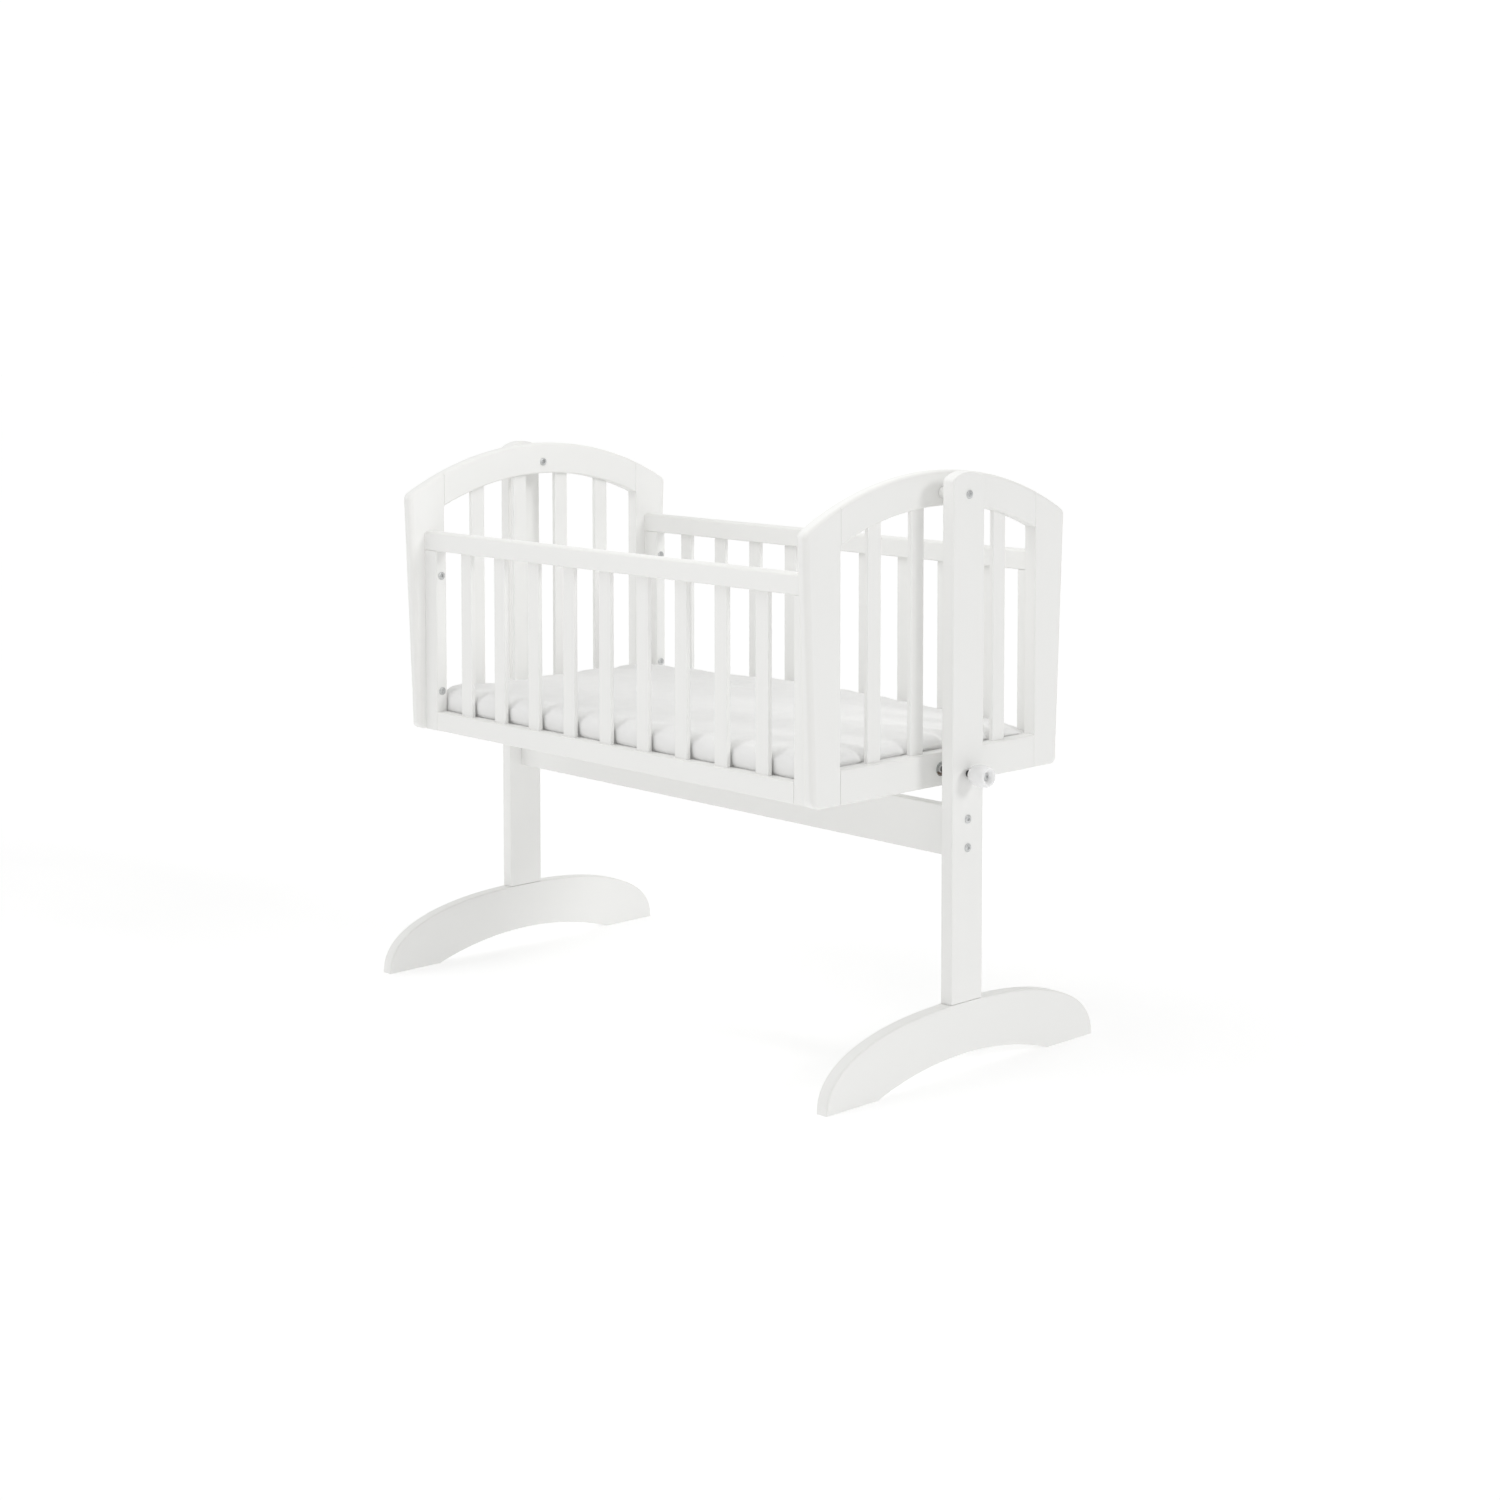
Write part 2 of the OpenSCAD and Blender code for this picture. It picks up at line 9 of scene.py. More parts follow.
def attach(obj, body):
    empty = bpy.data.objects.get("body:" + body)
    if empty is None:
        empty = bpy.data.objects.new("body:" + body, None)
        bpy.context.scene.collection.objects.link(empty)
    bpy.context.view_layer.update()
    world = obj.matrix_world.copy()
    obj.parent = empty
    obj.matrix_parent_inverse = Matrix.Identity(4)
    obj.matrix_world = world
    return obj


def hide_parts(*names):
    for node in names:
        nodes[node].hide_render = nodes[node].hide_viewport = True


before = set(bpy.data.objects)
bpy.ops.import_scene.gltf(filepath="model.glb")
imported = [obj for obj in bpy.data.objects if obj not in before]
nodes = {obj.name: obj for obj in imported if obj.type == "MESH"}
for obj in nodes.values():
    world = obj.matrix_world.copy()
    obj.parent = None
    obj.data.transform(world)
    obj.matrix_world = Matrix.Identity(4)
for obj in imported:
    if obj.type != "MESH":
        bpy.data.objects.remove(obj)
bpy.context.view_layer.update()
scene = bpy.context.scene

MM = 0.001
MID = 20.0          # the stand's middle lies this far towards -X of the middle of the whole object


def pt(x, y, z):
    return Vector(((x - MID) * MM, y * MM, z * MM))


# ------------------------------------------------------------------ materials
class Nodes:
    """Small helper round a node tree."""

    def __init__(self, tree):
        self.t = tree

    def add(self, kind, **values):
        n = self.t.nodes.new(kind)
        for k, v in values.items():
            setattr(n, k, v)
        return n

    def link(self, a, b):
        self.t.links.new(a, b)

    def coords(self):
        return self.add("ShaderNodeTexCoord").outputs["Object"]

    def mapping(self, scale, src=None, loc=(0, 0, 0)):
        m = self.add("ShaderNodeMapping")
        m.inputs["Scale"].default_value = scale
        m.inputs["Location"].default_value = loc
        self.link(src or self.coords(), m.inputs["Vector"])
        return m.outputs["Vector"]

    def noise(self, vec, scale, detail=4.0, rough=0.55, distortion=0.0):
        n = self.add("ShaderNodeTexNoise")
        n.inputs["Scale"].default_value = scale
        n.inputs["Detail"].default_value = detail
        n.inputs["Roughness"].default_value = rough
        n.inputs["Distortion"].default_value = distortion
        self.link(vec, n.inputs["Vector"])
        return n.outputs["Fac"]

    def ranged(self, fac, lo, hi, a=0.3, b=0.7):
        m = self.add("ShaderNodeMapRange")
        m.inputs["From Min"].default_value = a
        m.inputs["From Max"].default_value = b
        m.inputs["To Min"].default_value = lo
        m.inputs["To Max"].default_value = hi
        self.link(fac, m.inputs["Value"])
        return m.outputs["Result"]

    def math(self, op, a, b=0.0):
        m = self.add("ShaderNodeMath", operation=op)
        for i, v in enumerate((a, b)):
            if isinstance(v, (int, float)):
                m.inputs[i].default_value = v
            else:
                self.link(v, m.inputs[i])
        return m.outputs[0]

    def bump(self, height, strength, distance, under=None):
        b = self.add("ShaderNodeBump")
        b.inputs["Strength"].default_value = strength
        b.inputs["Distance"].default_value = distance
        self.link(height, b.inputs["Height"])
        if under is not None:
            self.link(under, b.inputs["Normal"])
        return b.outputs["Normal"]


def mix_colour(n, fac, a, b, kind="MIX"):
    m = n.add("ShaderNodeMix", data_type="RGBA", blend_type=kind)
    ins = [s for s in m.inputs if s.type == "RGBA"]
    out = [s for s in m.outputs if s.type == "RGBA"][0]
    f = [s for s in m.inputs if s.name == "Factor" and s.type == "VALUE"][0]
    for v, s in ((fac, f), (a, ins[0]), (b, ins[1])):
        if isinstance(v, (int, float)):
            s.default_value = v
        elif isinstance(v, (tuple, list)):
            s.default_value = (*v, 1.0)
        else:
            n.link(v, s)
    return out


def material(name):
    m = bpy.data.materials.new(name)
    m.use_nodes = True
    m.node_tree.nodes.clear()
    n = Nodes(m.node_tree)
    out = n.add("ShaderNodeOutputMaterial")
    sh = n.add("ShaderNodeBsdfPrincipled")
    n.link(sh.outputs["BSDF"], out.inputs["Surface"])
    return m, n, sh


WHITE = (0.880, 0.880, 0.866)


def painted(name, axis, white=WHITE):
    """Satin white paint on planed wood. The grain runs along axis and shows faintly as relief under the paint."""
    m, n, sh = material(name)
    along, across = 9.0, 260.0
    s = [across, across, across]
    s[axis] = along
    grain_v = n.mapping(s)
    grain = n.noise(grain_v, 1.0, 5.0, 0.6, 0.35)
    broad = n.noise(n.mapping((5, 5, 5)), 1.0, 3.0, 0.5)
    peel = n.noise(n.mapping((1, 1, 1)), 950.0, 2.0, 0.5)
    blot = n.noise(n.mapping((1, 1, 1)), 60.0, 4.0, 0.6)
    edge = n.add("ShaderNodeAttribute", attribute_name="edge")
    # painted shade on the rounded edges: a touch darker and warmer there, in uneven patches
    edge_shade = n.math("MULTIPLY", edge.outputs["Fac"], n.ranged(blot, 0.75, 1.0, 0.35, 0.65))
    dark = tuple(c * 0.994 for c in white)
    lite = tuple(min(1.0, c * 1.004) for c in white)
    base = mix_colour(n, n.ranged(broad, 0.0, 1.0), dark, lite)
    base = mix_colour(n, n.ranged(grain, 0.0, 0.10), base, tuple(c * d for c, d in zip(white, (0.975, 0.972, 0.965))))
    base = mix_colour(n, edge_shade, base, tuple(c * d for c, d in zip(white, (0.978, 0.975, 0.969))))
    n.link(base, sh.inputs["Base Color"])
    rough = n.math("ADD", n.ranged(blot, 0.44, 0.49), n.math("MULTIPLY", grain, 0.05))
    n.link(rough, sh.inputs["Roughness"])
    sh.inputs["Specular IOR Level"].default_value = 0.36
    relief = n.bump(grain, 0.05, 0.0005)
    relief = n.bump(peel, 0.05, 0.0002, relief)
    n.link(relief, sh.inputs["Normal"])
    return m


def metal(name, colour, rough, scratch=0.25):
    m, n, sh = material(name)
    fine = n.noise(n.mapping((1, 1, 1)), 1400.0, 4.0, 0.65)
    spots = n.noise(n.mapping((1, 1, 1)), 240.0, 3.0, 0.6)
    base = mix_colour(n, n.ranged(spots, 0.0, 1.0), tuple(c * 0.80 for c in colour), tuple(min(1, c * 1.12) for c in colour))
    n.link(base, sh.inputs["Base Color"])
    sh.inputs["Metallic"].default_value = 1.0
    n.link(n.ranged(fine, rough * 0.75, rough * 1.35), sh.inputs["Roughness"])
    n.link(n.bump(fine, scratch, 0.0001), sh.inputs["Normal"])
    return m


def plastic(name, colour, rough, spec=0.5):
    m, n, sh = material(name)
    fine = n.noise(n.mapping((1, 1, 1)), 1500.0, 2.0, 0.5)
    cloud = n.noise(n.mapping((1, 1, 1)), 60.0, 3.0, 0.5)
    base = mix_colour(n, n.ranged(cloud, 0.0, 1.0), tuple(c * 0.975 for c in colour), tuple(min(1, c * 1.015) for c in colour))
    n.link(base, sh.inputs["Base Color"])
    n.link(n.ranged(cloud, rough * 0.85, rough * 1.2), sh.inputs["Roughness"])
    sh.inputs["Specular IOR Level"].default_value = spec
    n.link(n.bump(fine, 0.06, 0.0001), sh.inputs["Normal"])
    return m


def bare_wood(name, axis):
    m, n, sh = material(name)
    s = [300.0, 300.0, 300.0]
    s[axis] = 14.0
    grain = n.noise(n.mapping(s), 1.0, 6.0, 0.65, 0.8)
    ring = n.noise(n.mapping([v * 0.12 for v in s]), 1.0, 3.0, 0.5, 1.5)
    base = mix_colour(n, n.ranged(grain, 0.0, 1.0), (0.62, 0.45, 0.28), (0.78, 0.61, 0.42))
    base = mix_colour(n, n.ranged(ring, 0.0, 0.5), base, (0.58, 0.40, 0.23))
    n.link(base, sh.inputs["Base Color"])
    n.link(n.ranged(grain, 0.5, 0.7), sh.inputs["Roughness"])
    n.link(n.bump(grain, 0.2, 0.0004), sh.inputs["Normal"])
    return m


def woven(name, colour, thread=0.00055):
    """Plain woven cotton: threads cross on each face whichever way it points, because the weave is laid out on all three axes."""
    m, n, sh = material(name)
    co = n.coords()
    wob = n.noise(n.mapping((1, 1, 1), co), 380.0, 2.0, 0.5)
    sep = n.add("ShaderNodeSeparateXYZ")
    n.link(co, sep.inputs[0])
    k = 2 * math.pi / (2 * thread)
    waves = []
    for i in range(3):
        ph = n.math("MULTIPLY", wob, 2.4)
        waves.append(n.math("SINE", n.math("ADD", n.math("MULTIPLY", sep.outputs[i], k), ph)))
    weave = n.math("ADD", n.math("MULTIPLY", waves[0], waves[1]), n.math("MULTIPLY", waves[1], waves[2]))
    weave = n.math("ADD", weave, n.math("MULTIPLY", waves[0], waves[2]))
    slub = n.noise(n.mapping((60, 900, 900), co), 1.0, 3.0, 0.6)
    slub2 = n.noise(n.mapping((900, 60, 900), co), 1.0, 3.0, 0.6)
    soft = n.noise(n.mapping((1, 1, 1), co), 22.0, 4.0, 0.6)
    base = mix_colour(n, n.ranged(soft, 0.0, 1.0), tuple(c * 0.975 for c in colour), tuple(min(1, c * 1.01) for c in colour))
    base = mix_colour(n, n.ranged(weave, 0.0, 0.10, -1.5, 1.5), base, tuple(c * 0.86 for c in colour))
    base = mix_colour(n, n.ranged(slub, 0.0, 0.12, 0.5, 0.8), base, tuple(c * 0.93 for c in colour))
    n.link(base, sh.inputs["Base Color"])
    sh.inputs["Roughness"].default_value = 0.88
    sh.inputs["Specular IOR Level"].default_value = 0.25
    sh.inputs["Sheen Weight"].default_value = 0.25
    sh.inputs["Sheen Roughness"].default_value = 0.5
    relief = n.bump(weave, 0.22, 0.0002)
    relief = n.bump(n.math("ADD", slub, slub2), 0.12, 0.0003, relief)
    relief = n.bump(soft, 0.05, 0.002, relief)
    n.link(relief, sh.inputs["Normal"])
    return m


PAINT = {a: painted("paint_" + "xyz"[a], a) for a in range(3)}
ZINC = metal("zinc_plated", (0.66, 0.67, 0.67), 0.40)
STEEL = metal("dark_steel", (0.10, 0.10, 0.105), 0.34)
BLACK = plastic("dark_sleeve", (0.16, 0.155, 0.15), 0.42)


def plated_sleeve():
    """The lock's sleeve, dull plating on its upper face, and below the rod a dark brown: the bare wood of the bore,
    with painted shade of the gap under the rod.
    """
    m, n, sh = material("plated_sleeve")
    co = n.coords()
    sep = n.add("ShaderNodeSeparateXYZ")
    n.link(co, sep.inputs[0])
    cloud = n.noise(n.mapping((1, 1, 1), co), 320.0, 3.0, 0.6)
    z = n.math("ADD", sep.outputs[2], n.math("MULTIPLY", n.math("SUBTRACT", cloud, 0.5), 0.0016))
    # below the rod: dark brown, the bare wood of the bore and painted shade of the gap under the rod
    below_rod_wood_shade = n.ranged(z, 1.0, 0.0, 0.4472, 0.4486)
    base = mix_colour(n, n.ranged(cloud, 0.0, 1.0), (0.40, 0.42, 0.41), (0.48, 0.50, 0.49))
    base = mix_colour(n, below_rod_wood_shade, base, (0.13, 0.095, 0.07))
    n.link(base, sh.inputs["Base Color"])
    sh.inputs["Metallic"].default_value = 0.35
    n.link(n.ranged(cloud, 0.38, 0.52), sh.inputs["Roughness"])
    n.link(n.bump(cloud, 0.1, 0.0001), sh.inputs["Normal"])
    return m


SLEEVE = plated_sleeve()
NYLON = plastic("white_nylon", (0.90, 0.90, 0.885), 0.42)
KNOBM = plastic("white_knob", (0.84, 0.84, 0.84), 0.24, 0.5)
for _n in KNOBM.node_tree.nodes:
    if _n.type == "BSDF_PRINCIPLED":
        _n.inputs["Subsurface Weight"].default_value = 0.85
        _n.inputs["Subsurface Radius"].default_value = (1.0, 1.0, 1.0)
        _n.inputs["Subsurface Scale"].default_value = 0.007
BEECH = {a: bare_wood("beech_" + "xyz"[a], a) for a in range(3)}
CLOTH = woven("mattress_cover", (0.880, 0.879, 0.873))


# ------------------------------------------------------------------ mesh making
def link(ob):
    scene.collection.objects.link(ob)
    return ob


def from_bm(name, bm, mat):
    bmesh.ops.recalc_face_normals(bm, faces=bm.faces)
    me = bpy.data.meshes.new(name)
    bm.to_mesh(me)
    bm.free()
    me.materials.append(mat)
    return link(bpy.data.objects.new(name, me))


def settle(ob):
    """Puts the object's modifiers into its mesh."""
    bpy.context.view_layer.update()
    dg = bpy.context.evaluated_depsgraph_get()
    me = bpy.data.meshes.new_from_object(ob.evaluated_get(dg))
    old = ob.data
    ob.modifiers.clear()
    ob.data = me
    bpy.data.meshes.remove(old)
    me.name = ob.name
    return ob


def round_edges(ob, radius_of, segs=4):
    """Rounds each edge by its own radius. radius_of(middle, direction, normals) gives it in mm, in the stand's frame.
    What is rounded is kept in an attribute, for the painted shade on the rounded edges.
    """
    me = ob.data
    bm = bmesh.new()
    bm.from_mesh(me)
    bm.edges.ensure_lookup_table()
    radii = []
    for e in bm.edges:
        a, b = e.verts[0].co, e.verts[1].co
        m = (a + b) / 2
        mid = (m.x / MM + MID, m.y / MM, m.z / MM)
        radii.append(max(0.0, radius_of(mid, (b - a).normalized(), [f.normal.copy() for f in e.link_faces])))
    bm.free()
    top = max(radii)
    at = me.attributes.new("bevel_weight_edge", "FLOAT", "EDGE")
    at.data.foreach_set("value", [r / top for r in radii])
    me.materials.append(me.materials[0])
    mod = ob.modifiers.new("round", "BEVEL")
    mod.limit_method = "WEIGHT"
    mod.width = top * MM
    mod.segments = segs
    mod.profile = 0.5
    mod.use_clamp_overlap = False
    mod.loop_slide = True
    mod.material = 1
    settle(ob)
    me = ob.data
    for a in list(me.attributes):
        if a.name == "bevel_weight_edge":
            me.attributes.remove(a)
    rounded = np.zeros(len(me.vertices))
    total = np.zeros(len(me.vertices))
    for p in me.polygons:
        for v in p.vertices:
            total[v] += 1
            rounded[v] += p.material_index == 1
        p.material_index = 0
    while len(me.materials) > 1:
        me.materials.pop(index=1)
    e = me.attributes.new("edge", "FLOAT", "POINT")
    e.data.foreach_set("value", (rounded >= np.maximum(total, 1)).astype(np.float32))
    return ob


def shade(ob, angle=38.0):
    me = ob.data
    me.shade_smooth()
    me.set_sharp_from_angle(angle=math.radians(angle))
    w = ob.modifiers.new("normals", "WEIGHTED_NORMAL")
    w.keep_sharp = True
    w.weight = 60
    w.mode = "FACE_AREA"
    return ob


def prism(bm, outline, x0, x1, plane):
    """A flat outline made thick. outline is in mm: (y, z) for plane yz, given thickness along x; (x, z) for xz, along y."""
    def place(p, w):
        if plane == "yz":
            return pt(w, p[0], p[1])
        if plane == "xz":
            return pt(p[0], w, p[1])
        return pt(p[0], p[1], w)
    lo = [bm.verts.new(place(p, x0)) for p in outline]
    hi = [bm.verts.new(place(p, x1)) for p in outline]
    bm.faces.new(lo)
    bm.faces.new(hi[::-1])
    n = len(outline)
    for i in range(n):
        j = (i + 1) % n
        bm.faces.new((lo[j], lo[i], hi[i], hi[j]))


def slab(name, outline, x0, x1, plane, mat, radius_of, segs=5):
    """A board cut to an outline, both faces rounded over along the rim by a radius that may change on the way round. outline is counter-clockwise, in mm. radius_of(a, b) is asked at the middle of each step. Where the outline turns sharply the two roundings are mitred."""
    n = len(outline)
    P = [Vector(p) for p in outline]
    R, N = [], []
    for i in range(n):
        a, b = P[i], P[(i + 1) % n]
        d = (b - a).normalized()
        N.append(Vector((-d.y, d.x)))
        R.append(radius_of((a.x + b.x) / 2, (a.y + b.y) / 2))
    place = (lambda p, w: pt(w, p.x, p.y)) if plane == "yz" else (lambda p, w: pt(p.x, w, p.y))
    half = abs(x1 - x0) / 2
    rings = []
    for k in range(segs + 1):
        t = math.pi / 2 * k / segs
        c, q = 1 - math.cos(t), 1 - math.sin(t)
        ring = []
        for i in range(n):
            n0, n1, r0, r1 = N[i - 1], N[i], R[i - 1], R[i]
            turn = n0.x * n1.y - n0.y * n1.x
            if abs(turn) > 0.42:
                # meet of the two inset lines
                a0, a1 = c * r0, c * r1
                p = P[i] + Vector((a0 * n1.y - a1 * n0.y, a1 * n0.x - a0 * n1.x)) / turn
                depth = max(r0, r1) * q
            else:
                m = (n0 + n1).normalized()
                r = (r0 + r1) / 2
                p = P[i] + m * (c * r / max(0.5, m.dot(n1)))
                depth = r * q
            ring.append((p, min(depth, half * 0.98)))
        rings.append(ring)
    bm = bmesh.new()
    layer = bm.verts.layers.float.new("edge")
    lo, hi = min(x0, x1), max(x0, x1)
    shells = []
    for w, sign in ((lo, 1), (hi, -1)):
        shell = []
        for k, ring in enumerate(rings):
            row = []
            for p, depth in ring:
                v = bm.verts.new(place(p, w + sign * depth))
                v[layer] = 1.0 if 0 < k < segs else 0.0
                row.append(v)
            shell.append(row)
        shells.append(shell)
    for shell in shells:
        for a, b in zip(shell, shell[1:]):
            for i in range(n):
                j = (i + 1) % n
                bm.faces.new((a[i], a[j], b[j], b[i]))
        bm.faces.new(shell[-1])
    for i in range(n):
        j = (i + 1) % n
        bm.faces.new((shells[0][0][i], shells[0][0][j], shells[1][0][j], shells[1][0][i]))
    bmesh.ops.remove_doubles(bm, verts=bm.verts, dist=1e-6)
    ob = from_bm(name, bm, mat)
    return shade(ob)


def bars(name, boxes, mat, radius_of, segs=3):
    """One object from several square bars, each x0, x1, y0, y1, z0, z1 in mm."""
    bm = bmesh.new()
    for x0, x1, y0, y1, z0, z1 in boxes:
        prism(bm, [(y0, z0), (y1, z0), (y1, z1), (y0, z1)], x0, x1, "yz")
    ob = from_bm(name, bm, mat)
    round_edges(ob, radius_of, segs)
    return shade(ob)


def arc(cy, cz, r, a0, a1, n):
    """Points from angle a0 to a1 in degrees round a centre, both ends included."""
    return [(cy + r * math.cos(math.radians(a0 + (a1 - a0) * i / n)), cz + r * math.sin(math.radians(a0 + (a1 - a0) * i / n))) for i in range(n + 1)]


def mirrored(points):
    return [(-a, b) for a, b in reversed(points)]


def clean(points, tol=0.02):
    out = []
    for p in points:
        if not out or math.hypot(p[0] - out[-1][0], p[1] - out[-1][1]) > tol:
            out.append(p)
    if math.hypot(out[0][0] - out[-1][0], out[0][1] - out[-1][1]) <= tol:
        out.pop()
    return out


def lathe(name, rings, axis_x, y, z, mat, sign=1, count=64, hexes=(), angle=38.0):
    """A turned piece along X. rings is [(offset along x from axis_x, radius)], and a ring named in hexes is a six-sided socket of that radius across its flats."""
    bm = bmesh.new()
    loops = []
    for k, (dx, r) in enumerate(rings):
        if r < 1e-6:
            loops.append([bm.verts.new(pt(axis_x + sign * dx, y, z))])
            continue
        ring = []
        for i in range(count):
            t = 2 * math.pi * i / count
            rr = r
            if k in hexes:
                u = (t + math.pi / 6) % (math.pi / 3) - math.pi / 6
                rr = r / math.cos(u)
            ring.append(bm.verts.new(pt(axis_x + sign * dx, y + rr * math.cos(t), z + rr * math.sin(t))))
        loops.append(ring)
    for a, b in zip(loops, loops[1:]):
        for i in range(count):
            j = (i + 1) % count
            if len(a) == 1:
                bm.faces.new((a[0], b[i], b[j]))
            elif len(b) == 1:
                bm.faces.new((a[i], a[j], b[0]))
            else:
                bm.faces.new((a[i], a[j], b[j], b[i]))
    if len(loops[0]) > 1:
        bm.faces.new(loops[0])
    if len(loops[-1]) > 1:
        bm.faces.new(loops[-1])
    ob = from_bm(name, bm, mat)
    ob.data.shade_smooth()
    ob.data.set_sharp_from_angle(angle=math.radians(angle))
    return ob


def joined(name, obs):
    """Several objects as one mesh object, with their faces' smoothness kept."""
    bm = bmesh.new()
    mats = []
    for o in obs:
        start = len(bm.faces)
        bm.from_mesh(o.data)
        bm.faces.ensure_lookup_table()
        m = o.data.materials[0]
        if m not in mats:
            mats.append(m)
        for f in bm.faces[start:]:
            f.material_index = mats.index(m)
    me = bpy.data.meshes.new(name)
    bm.to_mesh(me)
    bm.free()
    for m in mats:
        me.materials.append(m)
    ob = link(bpy.data.objects.new(name, me))
    for o in obs:
        bpy.data.objects.remove(o)
    return ob


def put(ob, body, slot, *replaced):
    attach(ob, body)
    if replaced:
        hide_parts(*replaced)
    return ob


# ------------------------------------------------------------------ sizes, in mm, as the CAD part has them
POST_O, POST_T, POST_W, STAND_H = 534.0, 22.0, 68.5, 900.0
POST_I = POST_O - POST_T
FOOT_LEN, FOOT_H, ARCH_HALF, ARCH_RISE, FOOT_N = 592.0, 108.5, 190.0, 30.5, 2.35
STR_T, STR_H, STR_Z = 18.0, 76.0, 324.0
PANEL_O, PANEL_I = 480.5, 458.5
LOW, CROWN, CROWN_R, LOW_R, ARCH_W = 425.5, 899.0, 571.0, 531.0, 53.0
CROWN_C, LOW_C = CROWN - CROWN_R, CROWN - ARCH_W - LOW_R
END_RAIL = LOW + 51.5
STILE_IN, CORNER = 215.0, 14.0
END_PITCH, PITCH = 92.0, 88.4
SIDE_OUT, SIDE_IN, SIDE_TOP = 256.75, 235.75, 761.0
RAIL_LOW, RAIL_TOP = LOW + 32.0, SIDE_TOP - 32.0
UP_X = PANEL_I - 32.0
BED = 449.0
PIVOT, LOCK = 866.0, 451.5
SLAT_W, SLAT_T = 28.0, 8.0

is_x = lambda d: abs(d.x) > 0.99
is_y = lambda d: abs(d.y) > 0.99
is_z = lambda d: abs(d.z) > 0.99


# ------------------------------------------------------------------ stand
def post_outline():
    R, r = 60.0, 8.0
    cy = POST_W / 2 - r
    cz = STAND_H - R + math.sqrt((R - r) ** 2 - cy * cy)
    a = math.degrees(math.atan2(cz - (STAND_H - R), cy))
    right = arc(cy, cz, r, 0, a, 8)
    crown = arc(0, STAND_H - R, R, a, 90, 10)
    half = right + crown[1:-1]
    pts = [(POST_W / 2, FOOT_H + 0.4)] + half + [(0, STAND_H)]
    return clean(pts + [(-p[0], p[1]) for p in reversed(pts[:-1])])


def make_post(side):
    def rad(y, z):
        return 0.7 if z < FOOT_H + 1.0 else 2.2
    x0, x1 = (POST_I, POST_O) if side > 0 else (-POST_O, -POST_I)
    name = "post_right" if side > 0 else "post_left"
    ob = slab("look_" + name, post_outline(), x0, x1, "yz", PAINT[2], rad, 4)
    return put(ob, "stand", "white_paint", name)


def foot_curve():
    """The foot's top edge from the formula itself, at even steps, so that its curve is smooth."""
    pts = []
    steps = 96
    fine = []
    for i in range(1801):
        t = math.radians(i / 10)
        c, s = math.cos(t), math.sin(t)
        fine.append((FOOT_LEN / 2 * math.copysign(abs(c) ** (2 / FOOT_N), c), min(FOOT_H, (FOOT_H + 0.4) * abs(s) ** (2 / FOOT_N))))
    length = [0.0]
    for a, b in zip(fine, fine[1:]):
        length.append(length[-1] + math.hypot(b[0] - a[0], b[1] - a[1]))
    for k in range(steps + 1):
        want = length[-1] * k / steps
        j = int(np.searchsorted(length, want))
        j = min(max(j, 1), len(fine) - 1)
        f = (want - length[j - 1]) / max(length[j] - length[j - 1], 1e-9)
        pts.append((fine[j - 1][0] + (fine[j][0] - fine[j - 1][0]) * f, fine[j - 1][1] + (fine[j][1] - fine[j - 1][1]) * f))
    pts[0], pts[-1] = (FOOT_LEN / 2, 0.0), (-FOOT_LEN / 2, 0.0)
    R = (ARCH_HALF ** 2 + ARCH_RISE ** 2) / (2 * ARCH_RISE)
    half = math.degrees(math.asin(ARCH_HALF / R))
    under = arc(0, ARCH_RISE - R, R, 90 + half, 90 - half, 48)
    return clean(pts + under)


def make_foot(side):
    def rad(y, z):
        if z < 0.5:
            return 1.6
        if z > FOOT_H - 2.5 and abs(y) < POST_W / 2 + 8:
            return 0.7 + 2.1 * max(0.0, min(1.0, (abs(y) - POST_W / 2 - 1) / 7))
        return 2.8
    x0, x1 = (POST_I, POST_O) if side > 0 else (-POST_O, -POST_I)
    name = "foot_right" if side > 0 else "foot_left"
    ob = slab("look_" + name, foot_curve(), x0, x1, "yz", PAINT[1], rad, 4)
    return put(ob, "stand", "white_paint", name)


for s in (-1, 1):
    make_post(s)
    make_foot(s)

stretcher = bars("look_stretcher", [(-POST_I, POST_I, -STR_T / 2, STR_T / 2, STR_Z, STR_Z + STR_H)], PAINT[0],
                 lambda m, d, ns: 2.5 if is_x(d) else 0.5, 4)
put(stretcher, "stand", "white_paint", "stretcher")


# ------------------------------------------------------------------ end panels
EDGE_LO, EDGE_HI, EDGE_HZ, EDGE_LZ = 270.3, 286.5, 812.0, 425.5
LEAN = (EDGE_HI - EDGE_LO) / (EDGE_HZ - EDGE_LZ)
LEAN_C = 1 / math.sqrt(1 + LEAN * LEAN)


def edge_y(z):
    return EDGE_LO + LEAN * (z - EDGE_LZ)


